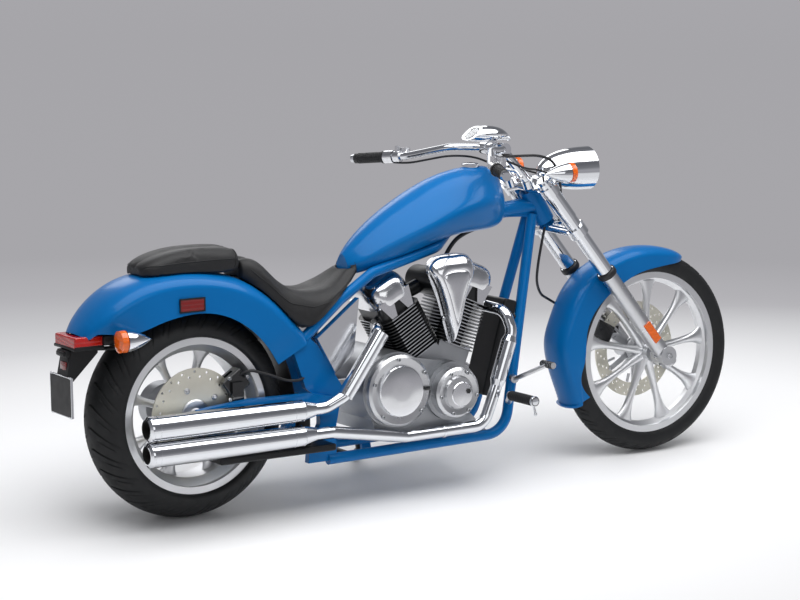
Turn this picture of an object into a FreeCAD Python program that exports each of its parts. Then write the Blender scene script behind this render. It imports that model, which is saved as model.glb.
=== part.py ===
import FreeCAD, Part
import os
from math import sin, cos, tan, radians, pi, atan2, asin, degrees

# A long, low V-twin chopper motorcycle, leaning on its side stand.
# It is drawn upright: X forward from the rear axle, Y to the rider's left, Z up from the road.
# At the end the whole machine is leaned to the left until the foot of the stand meets the road.
# Sizes are in millimetres, angles in degrees. A table of shares is multiplied by the sizes it follows.

# Stance
wheelbase = 1804.0
lean_angle = 9.0
steering_rake = 32.0
steering_trail = 92.0
fork_rake = 39.0
running_gap = 0.1
seat_gap = 0.3
clear_gap = 6.0
overrun = 4.0

# Rear wheel: 18 inch rim, wide low tyre
rear_tyre_radius = 328.6
rear_tyre_half = 100.0
rear_crown_radius = 104.0
rear_bead_radius = 228.6
rear_rim_half = 80.0
rear_lip_radius = 243.0
rear_well_depth = 24.0
rear_well_half = 50.0
rear_spoke_count = 8
rear_spoke_turn = 26.5
rear_hub_radius = 50.0
rear_hub_left = 62.0
rear_axle_radius = 12.5
rear_disc_radius = 148.0
rear_disc_y = 75.0

# Front wheel: 21 inch rim, narrow tyre
front_tyre_radius = 347.7
front_tyre_half = 45.0
front_crown_radius = 48.0
front_bead_radius = 266.7
front_rim_half = 27.0
front_lip_radius = 281.0
front_well_depth = 14.0
front_well_half = 10.0
front_spoke_count = 9
front_spoke_turn = 8.0
front_hub_radius = 32.0
front_hub_right = 52.0
front_axle_radius = 10.0
front_disc_radius = 168.0
front_disc_bore = 112.0
front_disc_y = 62.0

# Brakes
caliper_width = 66.0
caliper_height = 78.0
rear_caliper_reach = 25.0
front_caliper_reach = 17.0

# Both wheels
lip_width = 6.0
bead_seat = 14.0
rim_wall = 7.0
tyre_wall = 9.0
disc_thickness = 5.0
disc_arm_width = 20.0
disc_arm_count = 6
spoke_hub_width = 44.0
spoke_neck_width = 24.0
spoke_rim_width = 76.0
spoke_hub_depth = 44.0
spoke_rim_depth = 28.0

# Frame
neck_radius = 34.0
neck_low = 836.0
neck_high = 944.0
stem_radius = 14.0
backbone_radius = 27.0
backbone_end_x = wheelbase - 854.0
backbone_end_z = 838.0
rail_radius = 17.0
rail_half = 84.0
downtube_radius = 17.5
cradle_half = 104.0
cradle_z = 142.0
cradle_front_x = wheelbase - 686.0
cradle_rear_x = 452.0
cradle_bend = 92.0
rail_bend = 60.0
plate_inner = 86.0
plate_thickness = 24.0
plate_length = 190.0
plate_height = 430.0
plate_rear_x = 318.0
plate_bottom_z = 138.0
swing_pivot_x = 440.0
swing_pivot_z = 318.0
swing_pivot_radius = 14.0
subframe_radius = 11.0
subframe_half = 104.0

# Swingarm and final drive
arm_inner = plate_inner + plate_thickness + seat_gap
arm_thickness = 25.0
arm_height = 54.0
arm_tail_radius = 30.0
shaft_radius = 33.0
shaft_y = 146.0
drive_radius = 76.0
drive_inner = 66.0
drive_outer = 182.0

# Engine
crank_x = 898.0
crank_z = 322.0
clutch_x = 682.0
clutch_z = 348.0
vee_angle = 52.0
vee_tilt = 3.5
case_right = 146.0
case_left = 140.0
crank_case_radius = 96.0
clutch_case_radius = 122.0
case_bottom_z = 205.0
deck_height = 146.0
deck_half = 62.0
barrel_height = 158.0
barrel_core_radius = 62.0
fin_count = 15
fin_thickness = 3.2
fin_half_y = 96.0
fin_half_x = 78.0
fin_corner = 34.0
head_height = 44.0
lug_width = 16.0
intake_radius = 24.0
head_cover_height = 80.0
clutch_cover_radius = 116.0
clutch_cover_depth = 42.0
crank_cover_radius = 82.0
crank_cover_depth = 50.0
cover_dish_share = 0.62
cover_edge = 9.0
air_cover_width = 172.0
air_cover_height = 280.0
air_cover_depth = 54.0
air_cover_x = 902.0
air_cover_low_z = 484.0
air_cover_y = 128.0

# Fuel tank
tank_front_x = wheelbase - 622.0
tank_length = 606.0
tank_top_z = 1036.0
tank_height = 318.0
tank_half = 142.0
filler_x = wheelbase - 729.0
filler_radius = 31.0
filler_height = 9.0

# Seats
seat_back_x = 176.0
seat_length = 462.0
seat_half = 132.0
seat_top_z = 806.0
seat_height = 250.0
pillion_back_x = -166.0
pillion_length = 336.0
pillion_half = 94.0
pillion_height = 82.0

# Fenders
rear_fender_radius = 446.0
rear_fender_half = 125.0
rear_fender_wall = 4.0
guard_gap = 16.0
guard_angles = [-6.0, 22.0, 46.0]
reflector_x = -68.0
reflector_z = 661.0
front_fender_radius = 385.0
front_fender_half = 68.0
front_fender_wall = 3.0

# Fork
fork_half = 105.0
fork_length = 808.0
slider_radius = 28.5
slider_length = 380.0
slider_foot = 40.0
fender_boss_radius = 9.0
seal_radius = 32.0
seal_height = 20.0
tube_radius = 26.5
cover_radius = 28.5
cover_start = 646.0
clamp_thickness = 34.0
clamp_grip = 34.5
lower_clamp_at = 590.0
upper_clamp_at = 774.0

hose_radius = 4.5
reflector_share = 0.30
reflector_width = 28.0
reflector_length = 80.0
breather_radius = 7.0

# Handlebar and lamps
bar_radius = 12.7
bar_half = 446.0
grip_length = 122.0
grip_radius = 17.0
riser_radius = 16.0
riser_half = 48.0
lamp_radius = 74.0
lamp_length = 205.0
lamp_back_x = wheelbase - 458.0
lamp_z = 1003.0
signal_radius = 34.0
signal_length = 112.0
front_signal_y = 154.0
front_signal_x = wheelbase - 536.0
front_signal_z = 1006.0
rear_signal_y = 158.0
rear_signal_x = -182.0
rear_signal_z = 594.0

# Exhaust
muffler_tip_radius = 38.5
muffler_front_radius = 33.5
muffler_y = 196.0
muffler_tip_x = -220.0
muffler_front_x = 352.0
upper_muffler_z = 328.0
lower_muffler_z = 249.0
header_radius = 19.5
header_wall = 2.5
shield_radius = 26.0
shield_overhang = 70.0
tip_depth = 46.0
header_bend = 60.0
bracket_drop = 22.0
hanger_width = 40.0
hanger_y = 160.0

# Radiator
radiator_depth = 52.0
radiator_half = 62.0
radiator_height = 330.0
radiator_foot_x = wheelbase - 676.0
radiator_foot_z = 262.0

# Bars, controls and lamps
bar_clamp_x = wheelbase - 632.0
bar_clamp_z = 1086.0
bar_reach = -267.0
bar_rise = -46.0
bar_shares = [(1.0, 1.0, 1.0), (0.70, 0.56, 0.65), (0.36, 0.26, -0.10), (0.0, 0.15, 0.0)]
bar_bend = 70.0
switch_length = 36.0
switch_radius = 22.0
lever_radius = 5.0
mirror_boss_radius = 8.5
mirror_hole_radius = 4.25
mirror_hole_depth = 14.0
lever_reach = 62.0
riser_foot_x = wheelbase - 536.0
riser_foot_z = 978.0
meter_back_x = wheelbase - 749.0
meter_length = 168.0
meter_z = 1138.0
meter_half = 54.0
meter_height = 54.0
dial_x = wheelbase - 722.0
dial_z = 1142.0
dial_radius = 25.0
dial_depth = 3.0
meter_tilt = 39.0
wire_radius = 3.6
lamp_shares = [(0.0, 0.0), (0.03, 0.22), (0.14, 0.52), (0.36, 0.80), (0.66, 0.96), (1.0, 1.0)]

# Side covers, pegs and tail
side_cover_shares = [(0.0, 0.50), (1.0, 1.0), (0.86, 0.25), (0.42, 0.0)]
cover_x = 408.0
cover_z = 420.0
cover_length = 154.0
cover_rise = 232.0
cover_depth = 26.0
cover_wall = 3.0
peg_x = wheelbase - 730.0
peg_z = 300.0
peg_inner = 228.0
peg_outer = 366.0
peg_mount_z = 250.0
peg_radius = 15.0
pedal_pivot_z = 330.0
pedal_reach = 132.0
brake_rise = 92.0
shift_rise = 84.0
tail_x = -394.0
tail_z = 566.0
tail_length = 96.0
tail_half = 72.0
tail_height = 38.0
plate_x = -412.0
plate_z = 366.0
plate_size = 116.0
plate_gap = 6.0

# Side stand
stand_pivot_x = 722.0
stand_pivot_z = 112.0
stand_pivot_y = 136.0
stand_foot_x = 782.0
stand_foot_y = 286.0
stand_radius = 11.0
stand_foot_radius = 27.0
stand_foot_thickness = 8.0
stand_boss_radius = 19.0
stand_boss_height = 26.0
stand_swing = 100.0


def vec(x, y, z):
    return FreeCAD.Vector(x, y, z)


AXIS_X = vec(1, 0, 0)
AXIS_Y = vec(0, 1, 0)
AXIS_Z = vec(0, 0, 1)
REAR_AXLE = vec(0, 0, rear_tyre_radius)
FRONT_AXLE = vec(wheelbase, 0, front_tyre_radius)

# The hoses and wires go through these places. The upper hose comes from the right lever's tank, and each
# switch has a wire that ends inside the headlamp
breather_route = [
    vec(932, -24, 706), vec(952, -24, 738), vec(974, -23, 772), vec(1002, -22, 800), vec(1040, -22, 818),
    vec(1080, -24, 830), vec(1118, -26, 846),
]
hose_route = [
    vec(1364, -16, 814), vec(1346, -20, 752), vec(1336, -16, 692), vec(1344, 6, 628), vec(1382, 36, 578),
    vec(1438, 68, 554), vec(1500, 85, 522), vec(1560, 86, 497), vec(1610, 79, 472), vec(1650, 66, 446),
]
upper_hose_route = [
    vec(998, -283, 1059), vec(1018, -232, 1050), vec(1098, -122, 1068), vec(1198, -88, 1066), vec(1290, -88, 1064),
    vec(1362, -74, 1040), vec(1396, -62, 965), vec(1404, -52, 895), vec(1414, -42, 848), vec(1396, -34, 818),
]
wire_route = [
    vec(959, 314, 1033), vec(988, 245, 1032), vec(1072, 120, 1062), vec(1150, 86, 1056), vec(1235, 86, 1022),
    vec(1300, 68, 1014), vec(1352, 52, 998), vec(1388, 28, 986),
]
rear_hose_route = [
    vec(140, -92, 440), vec(170, -119, 460), vec(236, -123, 438), vec(300, -123, 412), vec(350, -114, 408),
    vec(384, -98, 418),
]


def steer_point(z):
    """Point of the steering axis at a height above the road."""
    return vec(wheelbase + steering_trail - z * tan(radians(steering_rake)), 0, z)


def steer_direction():
    return vec(-sin(radians(steering_rake)), 0, cos(radians(steering_rake)))


def leg_direction():
    return vec(-sin(radians(fork_rake)), 0, cos(radians(fork_rake)))


def leg_point(along, side):
    """Point on the centre line of a fork leg, measured up from the front axle."""
    return FRONT_AXLE + leg_direction() * along + vec(0, side * fork_half, 0)


def mirrored(shape):
    return shape.mirror(vec(0, 0, 0), AXIS_Y)


def group(*shapes):
    """Several solids that belong to one node."""
    solids = []
    for shape in shapes:
        solids += shape.Solids
    return solids[0] if len(solids) == 1 else Part.makeCompound(solids)


def both_sides(shape):
    return group(shape, mirrored(shape))


def rod(start, end, radius):
    return Part.makeCylinder(radius, (end - start).Length, start, end - start)


def cone(start, end, start_radius, end_radius):
    return Part.makeCone(start_radius, end_radius, (end - start).Length, start, end - start)


def block(low, high):
    size = high - low
    return Part.makeBox(size.x, size.y, size.z, low)


def fused(*shapes):
    return shapes[0].multiFuse(list(shapes[1:])).removeSplitter()


def outline(points, place):
    """Closed wire through flat points. A pair of points is an arc through the first to the second."""
    edges = []
    start = place(*points[0])
    here = start
    for step in points[1:]:
        if isinstance(step[0], tuple):
            middle = place(*step[0])
            end = place(*step[1])
            edges.append(Part.Arc(here, middle, end).toShape())
        else:
            end = place(*step)
            edges.append(Part.LineSegment(here, end).toShape())
        here = end
    if (here - start).Length > seat_gap:
        edges.append(Part.LineSegment(here, start).toShape())
    return Part.Wire(edges)


def side_plate(points, y_from, y_to):
    """A flat outline in the side view, given as (x, z), made thick across the machine."""
    wire = outline(points, lambda x, z: vec(x, y_from, z))
    return Part.Face(wire).extrude(vec(0, y_to - y_from, 0))


def turned(points, centre, axis=AXIS_Y):
    """Solid of revolution from (distance along the axis, radius) points."""
    wire = outline(points, lambda along, radius: vec(radius, 0, along))
    solid = Part.Face(wire).revolve(vec(0, 0, 0), AXIS_Z, 360)
    solid.Placement = FreeCAD.Placement(centre, FreeCAD.Rotation(AXIS_Z, axis))
    return Part.Solid(solid.Shells[0]) if not solid.Solids else solid.Solids[0]


def dome(along, radius, height):
    """Arc that closes a turned outline with a spherical cap."""
    sphere = (radius * radius + height * height) / (2 * height)
    half_angle = asin(radius / sphere) / 2
    centre = along + height - sphere
    return (centre + sphere * cos(half_angle), sphere * sin(half_angle)), (along + height, 0)


def bent_path(points, bend):
    """Straight runs joined by tangent arcs of one radius, smaller where a run is short."""
    edges = []
    here = points[0]
    for before, corner, after in zip(points, points[1:], points[2:]):
        back = (before - corner).normalize()
        ahead = (after - corner).normalize()
        turn = pi - back.getAngle(ahead)
        room = min((before - corner).Length, (after - corner).Length) * 0.45
        reach = min(bend * tan(turn / 2), room)
        radius = reach / tan(turn / 2)
        middle = (back + ahead).normalize()
        arc_start = corner + back * reach
        arc_end = corner + ahead * reach
        arc_middle = corner + middle * (radius / cos(turn / 2) - radius)
        edges.append(Part.LineSegment(here, arc_start).toShape())
        edges.append(Part.Arc(arc_start, arc_middle, arc_end).toShape())
        here = arc_end
    edges.append(Part.LineSegment(here, points[-1]).toShape())
    return Part.Wire(edges)


def bar(points, radius, bend):
    """Round bar along bent runs."""
    path = bent_path(points, bend)
    circle = Part.Wire(Part.Circle(points[0], points[1] - points[0], radius).toShape())
    return path.makePipeShell([circle], True, True)


def loop_wire(points):
    """Smooth closed wire through the points."""
    curve = Part.BSplineCurve()
    curve.interpolate(Points=points, PeriodicFlag=True)
    return Part.Wire(curve.toShape())


def loft(wires, ruled=False):
    return Part.makeLoft(wires, True, ruled)


def ellipse_wire(centre, across, up, half_across, half_up):
    """Ellipse as a wire, facing along across x up."""
    ring = []
    for quarter in range(8):
        angle = quarter * pi / 4
        ring.append(centre + across * (half_across * cos(angle)) + up * (half_up * sin(angle)))
    return loop_wire(ring)


def rounded_block(low, high, radius):
    solid = block(low, high)
    return solid.makeFillet(radius, solid.Edges)


# Wheels

def tyre(centre, radius, half, crown, bead, rim_half, lip):
    """Hollow carcass: a round crown, sides that bulge over the rim's lip, and two beads."""
    crown_centre = radius - crown
    spread = asin((half - tyre_wall / 4) / crown)
    inner = crown - tyre_wall
    toe = rim_half - seat_gap
    heel = toe - bead_seat
    shoulder = (half - tyre_wall / 4, crown_centre + crown * cos(spread))
    inner_half = half - tyre_wall * 1.2
    inner_spread = asin(inner_half / inner)
    inner_shoulder = (inner_half, crown_centre + inner * cos(inner_spread))
    foot = bead + seat_gap
    over_lip = lip + seat_gap
    lip_edge = rim_half + lip_width + seat_gap
    points = [
        (heel, foot), (toe, foot), (toe, over_lip), (lip_edge, over_lip),
        ((half - tyre_wall / 3, (over_lip * 2 + shoulder[1]) / 3), shoulder),
        ((0, radius), (-shoulder[0], shoulder[1])),
        ((tyre_wall / 3 - half, (over_lip * 2 + shoulder[1]) / 3), (-lip_edge, over_lip)),
        (-toe, over_lip), (-toe, foot), (-heel, foot), (-toe + tyre_wall, over_lip),
        (-inner_shoulder[0], inner_shoulder[1]),
        ((0, crown_centre + inner), inner_shoulder),
        (toe - tyre_wall, over_lip),
    ]
    return turned(points, centre)


def rim_ring(centre, bead, half, lip, well_depth, well_half):
    """Rim barrel with two lips and a dropped well."""
    seat = half - bead_seat
    well = bead - well_depth
    edge = half + lip_width
    outer = [(edge, lip), (half, lip), (half, bead), (seat, bead), (well_half, well)]
    inner = [(well_half - rim_wall / 2, well - rim_wall), (seat + rim_wall / 3, bead - rim_wall), (edge, bead - rim_wall)]
    points = [(-y, r) for y, r in outer] + [(y, r) for y, r in reversed(outer)]
    points += [(y, r) for y, r in reversed(inner)] + [(-y, r) for y, r in inner]
    return turned(points, centre)


def spoke(centre, turn, hub_radius, reach):
    """One cast spoke: wide at the hub, narrow in its middle and flared into the rim."""
    out = vec(cos(radians(turn)), 0, sin(radians(turn)))
    along = vec(-sin(radians(turn)), 0, cos(radians(turn)))
    stations = [
        (hub_radius * 0.6, spoke_hub_width, spoke_hub_depth),
        (hub_radius + (reach - hub_radius) * 0.22, spoke_neck_width * 1.15, spoke_hub_depth * 0.82),
        (hub_radius + (reach - hub_radius) * 0.58, spoke_neck_width, spoke_rim_depth),
        (hub_radius + (reach - hub_radius) * 0.85, spoke_rim_width * 0.55, spoke_rim_depth),
        (reach, spoke_rim_width, spoke_rim_depth),
    ]
    wires = []
    for distance, width, depth in stations:
        wires.append(ellipse_wire(centre + out * distance, along, AXIS_Y, width / 2, depth / 2))
    return loft(wires)


def wheel_casting(centre, bead, half, lip, well_depth, well_half, count, first_turn, hub_profile, hub_radius, bore):
    """Rim, spokes and hub in one casting, bored for its axle."""
    reach = bead - well_depth - rim_wall / 2
    pieces = [rim_ring(centre, bead, half, lip, well_depth, well_half), turned(hub_profile, centre)]
    for number in range(count):
        pieces.append(spoke(centre, first_turn + number * 360 / count, hub_radius, reach))
    casting = pieces[0].multiFuse(pieces[1:])
    ends = [along for along, radius in hub_profile]
    low = centre + vec(0, min(ends) - overrun, 0)
    high = centre + vec(0, max(ends) + overrun, 0)
    return casting.cut(rod(low, high, bore))


def brake_disc(centre, y, radius, bore, hub_radius, axle_bore):
    """Drilled-ring disc carried on a hub flange by short arms."""
    middle = centre + vec(0, y, 0)
    half = disc_thickness / 2
    ring = turned([(-half, bore), (half, bore), (half, radius), (-half, radius)], middle)
    flange = turned([(-half, axle_bore), (half, axle_bore), (half, hub_radius), (-half, hub_radius)], middle)
    pieces = [ring, flange]
    for number in range(disc_arm_count):
        arm = block(vec(-disc_arm_width / 2, y - half, hub_radius * 0.8), vec(disc_arm_width / 2, y + half, bore * 1.04))
        arm.rotate(vec(0, 0, 0), AXIS_Y, number * 360 / disc_arm_count)
        arm.translate(centre)
        pieces.append(arm)
    return fused(*pieces)


def rear_wheel():
    right = rear_disc_y - disc_thickness / 2
    hub = [
        (-right, 0), (-right, rear_hub_radius), (-spoke_hub_depth, rear_hub_radius * 0.84),
        (spoke_hub_depth * 0.8, rear_hub_radius * 0.84), (rear_hub_left, rear_hub_radius * 1.1), (rear_hub_left, 0),
    ]
    rim = wheel_casting(
        REAR_AXLE, rear_bead_radius, rear_rim_half, rear_lip_radius, rear_well_depth, rear_well_half,
        rear_spoke_count, rear_spoke_turn, hub, rear_hub_radius, rear_axle_radius + running_gap)
    rubber = tyre(
        REAR_AXLE, rear_tyre_radius, rear_tyre_half, rear_crown_radius, rear_bead_radius,
        rear_rim_half, rear_lip_radius)
    disc = brake_disc(
        REAR_AXLE, -rear_disc_y, rear_disc_radius, rear_disc_radius * 0.44, rear_hub_radius,
        rear_axle_radius + running_gap)
    return {"rear_tyre": rubber, "rear_rim": rim, "rear_disc": disc}


def front_wheel():
    left = front_disc_y - disc_thickness / 2
    hub = [
        (-front_hub_right, 0), (-front_hub_right, front_hub_radius), (-spoke_rim_depth, front_hub_radius * 0.9),
        (spoke_rim_depth, front_hub_radius * 0.9), (left, front_hub_radius * 1.15), (left, 0),
    ]
    rim = wheel_casting(
        FRONT_AXLE, front_bead_radius, front_rim_half, front_lip_radius, front_well_depth, front_well_half,
        front_spoke_count, front_spoke_turn, hub, front_hub_radius, front_axle_radius + running_gap)
    rubber = tyre(
        FRONT_AXLE, front_tyre_radius, front_tyre_half, front_crown_radius, front_bead_radius,
        front_rim_half, front_lip_radius)
    disc = brake_disc(
        FRONT_AXLE, front_disc_y, front_disc_radius, front_disc_bore, front_hub_radius * 1.2,
        front_axle_radius + running_gap)
    return {"front_tyre": rubber, "front_rim": rim, "front_disc": disc}


# Frame

def neck():
    """Steering head, bored for the stem."""
    low = steer_point(neck_low)
    high = steer_point(neck_high)
    step = steer_direction() * overrun
    return rod(low, high, neck_radius).cut(rod(low - step, high + step, stem_radius + running_gap))


def backbone_route(extra):
    """Places along the backbone, from the steering head to its end and past it."""
    start = steer_point((neck_low + neck_high) / 2)
    middle = vec((start.x + backbone_end_x) / 2, 0, start.z * 0.985)
    end = vec(backbone_end_x, 0, backbone_end_z)
    return [start, middle, end + (end - middle).normalize() * extra]


def neck_gusset(gap):
    """Plate in the middle plane between the steering head and the backbone."""
    start, middle, end = backbone_route(0)
    half = backbone_radius * 0.5 + gap
    return side_plate([
        (steer_point(neck_low).x, neck_low + neck_radius * 0.4),
        (steer_point(neck_high).x - neck_radius, neck_high - neck_radius * 0.9 + gap),
        (middle.x - gap, middle.z + backbone_radius * 0.6 + gap), (middle.x - gap, middle.z - backbone_radius * 0.6)],
        -half, half)


def backbone():
    tube = bar(backbone_route(0), backbone_radius, rail_bend * 4)
    gusset = neck_gusset(0)
    low = steer_point(neck_low - neck_radius)
    high = steer_point(neck_high + neck_radius)
    bored = fused(neck(), tube.cut(rod(low, high, neck_radius * 0.9)), gusset.cut(rod(low, high, neck_radius * 0.9)))
    return bored


def rail(side, radius=rail_radius):
    """Upper frame rail from the end of the backbone down to the pivot plate."""
    y = side * rail_half
    plate_y = side * (plate_inner + plate_thickness / 2)
    points = [
        vec(backbone_end_x + backbone_radius, side * backbone_radius * 0.6, backbone_end_z - backbone_radius * 0.3),
        vec(backbone_end_x - rail_half * 0.8, y, backbone_end_z - rail_half * 0.62),
        vec(backbone_end_x * 0.672, y, backbone_end_z * 0.862),
        vec(backbone_end_x * 0.545, y, backbone_end_z * 0.770),
        vec(plate_rear_x + plate_length * 0.22, plate_y, plate_bottom_z + plate_height * 0.90),
    ]
    return bar(points, radius, rail_bend)


plate_shares = [
    (0.00, 0.92), (0.19, 1.00), (0.53, 0.87), (0.74, 0.72), (1.00, 0.54), (0.86, 0.25), (0.86, 0.00),
    (0.32, 0.00), (0.34, 0.10), (0.55, 0.28), (0.56, 0.46), (0.29, 0.56),
]


def pivot_plate(side):
    """Cast plate that joins rail and cradle and holds the swingarm pivot."""
    points = [(plate_rear_x + along * plate_length, plate_bottom_z + up * plate_height) for along, up in plate_shares]
    low, high = sorted((side * plate_inner, side * (plate_inner + plate_thickness)))
    plate = side_plate(points, low, high)
    pivot = vec(swing_pivot_x, 0, swing_pivot_z)
    reach = vec(0, plate_inner + plate_thickness + overrun, 0)
    return plate.cut(rod(pivot - reach, pivot + reach, swing_pivot_radius + running_gap))


def cradle(side, radius=downtube_radius):
    """Downtube, front bend and bottom run in one tube."""
    top, corner = downtube_ends(side)
    return bar([top, corner, vec(cradle_rear_x, side * cradle_half, cradle_z)], radius, cradle_bend)


def downtube_ends(side):
    """Top of a downtube behind the neck, and the corner where it turns under the engine."""
    top = steer_point(neck_low + neck_radius * 0.7) + vec(-neck_radius * 1.35, side * downtube_radius * 0.8, 0)
    return top, vec(cradle_front_x + downtube_radius, side * cradle_half, cradle_z + downtube_radius * 0.6)


def downtube_point(z, side):
    """Centre of a downtube at a height."""
    top, corner = downtube_ends(side)
    return corner + (top - corner) * ((z - corner.z) / (top.z - corner.z))


def frame():
    spine = backbone()
    plates = {side: pivot_plate(side) for side in (-1, 1)}
    neck_space = rod(steer_point(neck_low - neck_radius), steer_point(neck_high + neck_radius), neck_radius * 0.9)
    cradles, rails = [], []
    for side in (-1, 1):
        tube = cradle(side).cut(spine).cut(neck_space).cut(plates[side])
        middle = seat_gap / 2
        low, high = sorted((side * middle, -side * wheelbase))
        tube = tube.cut(block(vec(0, low, 0), vec(wheelbase, high, wheelbase)))
        cradles.append(largest(tube))
        rails.append(largest(rail(side).cut(spine).cut(plates[side])))
    cradles[1] = largest(cradles[1].fuse(stand_bracket()))
    tubes = [mirrored(subframe(plates[1])), subframe(plates[1])]
    return {
        "frame_backbone": spine,
        "frame_cradles": group(*cradles),
        "frame_rails": group(*rails),
        "frame_plates": group(plates[-1], plates[1]),
        "rear_subframe": group(*tubes, cross_tubes(), inner_guard()),
    }


def largest(shape):
    return max(shape.Solids, key=lambda solid: solid.Volume)


def rail_room(side):
    """A frame rail with a seat's gap around it."""
    return rail(side, rail_radius + seat_gap)


def cross_tubes():
    """Tubes between the two sides: under the engine and at the plates."""
    bottom_reach = vec(0, cradle_half - downtube_radius * 0.96, 0)
    plate_reach = vec(0, plate_inner, 0)
    pieces = []
    for x, z, reach in (
            (cradle_front_x - cradle_bend, cradle_z, bottom_reach),
            (cradle_rear_x + cradle_bend, cradle_z, bottom_reach),
            (plate_rear_x + plate_length * 0.22, plate_bottom_z + plate_height * 0.91, plate_reach)):
        centre = vec(x, 0, z)
        tube = rod(centre - reach, centre + reach, subframe_radius)
        for side in (-1, 1):
            tube = tube.cut(cradle(side)).cut(rail(side))
        pieces.append(largest(tube))
    return group(*pieces)


def subframe(plate):
    """Left one of the two tubes inside the rear fender that carry it, with its bolt bosses."""
    top = rear_tyre_radius * 2 + (rear_fender_radius - rear_tyre_radius) * 0.45
    points = [
        vec(plate_rear_x + plate_length * 0.12, subframe_half, plate_bottom_z + plate_height * 0.86),
        vec(rear_tyre_radius * 0.60, subframe_half, rear_tyre_radius * 2 + subframe_radius),
        vec(0, subframe_half, top),
        vec(-rear_tyre_radius * 0.55, subframe_half, top - subframe_radius * 2),
    ]
    tube = bar(points, subframe_radius, rail_bend).cut(plate)
    fender_face = rear_fender_half - rear_fender_wall - seat_gap
    for place in (points[1], points[2] - (points[2] - points[3]) * 0.5):
        tube = tube.fuse(rod(place, vec(place.x, fender_face, place.z), subframe_radius * 0.7))
    return largest(tube)


# Swingarm and final drive

def swingarm():
    """Right arm, left shaft tube and the tube that joins them ahead of the tyre."""
    half_front = arm_height / 2
    front = vec(swing_pivot_x, 0, swing_pivot_z)
    span = swing_pivot_x
    points = [
        (-arm_tail_radius * 0.6, rear_tyre_radius - arm_tail_radius * 0.8),
        (-arm_tail_radius * 0.6, rear_tyre_radius + arm_tail_radius * 0.8),
        (arm_tail_radius, rear_tyre_radius + arm_tail_radius),
        (span * 0.38, swing_pivot_z + half_front * 1.9), (span * 0.86, swing_pivot_z + half_front * 1.75),
        (span + half_front, swing_pivot_z + half_front), (span + half_front, swing_pivot_z - half_front),
        (span * 0.4, swing_pivot_z - half_front * 0.8), (arm_tail_radius, rear_tyre_radius - arm_tail_radius),
    ]
    right = side_plate(points, -arm_inner - arm_thickness, -arm_inner)
    axle_reach = vec(0, drive_outer + overrun, 0)
    axle_hole = rod(REAR_AXLE - axle_reach, REAR_AXLE + axle_reach, rear_axle_radius + running_gap)
    pivot_hole = rod(front - axle_reach, front + axle_reach, swing_pivot_radius + running_gap)
    left = rod(vec(swing_pivot_x, shaft_y, swing_pivot_z), vec(0, shaft_y, rear_tyre_radius), shaft_radius)
    collar = cone(
        vec(swing_pivot_x, shaft_y, swing_pivot_z), vec(swing_pivot_x * 0.84, shaft_y, swing_pivot_z),
        shaft_radius * 1.12, shaft_radius)
    drive = turned([
        (drive_inner, 0), (drive_inner, drive_radius * 0.62), (arm_inner * 0.9, drive_radius * 0.8),
        (arm_inner, drive_radius), (drive_outer - shaft_radius * 0.5, drive_radius),
        (drive_outer, drive_radius * 0.72), (drive_outer, 0)], REAR_AXLE)
    left = left.fuse(collar).fuse(drive).cut(axle_hole).cut(pivot_hole)
    plate_room = block(
        vec(plate_rear_x, plate_inner, 0), vec(swing_pivot_x + shaft_radius * 2, arm_inner, swing_pivot_z * 2))
    return right.cut(axle_hole).cut(pivot_hole), largest(left.cut(plate_room))


def swing_pivot():
    front = vec(swing_pivot_x, 0, swing_pivot_z)
    low = front - vec(0, arm_inner + arm_thickness, 0)
    high = front + vec(0, shaft_y - shaft_radius * 0.4, 0)
    return rod(low, high, swing_pivot_radius)


def rear_axle():
    low = REAR_AXLE - vec(0, arm_inner + arm_thickness + lip_width, 0)
    high = REAR_AXLE + vec(0, drive_outer - lip_width, 0)
    spacer_end = REAR_AXLE - vec(0, rear_disc_y + disc_thickness / 2 + running_gap * 4, 0)
    spacer = rod(REAR_AXLE - vec(0, arm_inner - seat_gap, 0), spacer_end, rear_axle_radius * 1.7)
    nut = rod(low, low + vec(0, lip_width, 0), rear_axle_radius * 1.8)
    return fused(rod(low, high, rear_axle_radius), spacer, nut)


# Bodywork

def inner_guard():
    """Black guard round the front of the rear tyre, hung from the cross tube between the plates."""
    def spot(angle, radius):
        return radius * cos(radians(angle)), rear_tyre_radius + radius * sin(radians(angle))
    outer = rear_tyre_radius + guard_gap + header_wall
    inner = rear_tyre_radius + guard_gap
    low, middle, high = guard_angles
    half = plate_inner - clear_gap / 3
    skin = side_plate([
        spot(low, outer), (spot(middle, outer), spot(high, outer)), spot(high, inner),
        (spot(middle, inner), spot(low, inner))], -half, half)
    tube = vec(plate_rear_x + plate_length * 0.22, 0, plate_bottom_z + plate_height * 0.91)
    toward = (REAR_AXLE - tube).normalize()
    reach = (REAR_AXLE - tube).Length - inner - header_wall / 2
    tabs = []
    for side in (-1, 1):
        offset = AXIS_Y * (side * half * 0.6)
        tabs.append(rod(tube + offset, tube + offset + toward * reach, subframe_radius * 0.7))
    return largest(fused(skin, *tabs).cut(rod(tube - AXIS_Y * half, tube + AXIS_Y * half, subframe_radius + seat_gap)))


def fender_reflector():
    """Left reflector on the side of the rear fender."""
    low = vec(reflector_x, rear_fender_half + seat_gap, reflector_z)
    plate = block(low, low + vec(reflector_length, lip_width * 0.7, reflector_width * 1.3))
    corners = [edge for edge in plate.Edges if edge.BoundBox.YLength > lip_width / 2]
    return plate.makeFillet(lip_width, corners)


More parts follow.
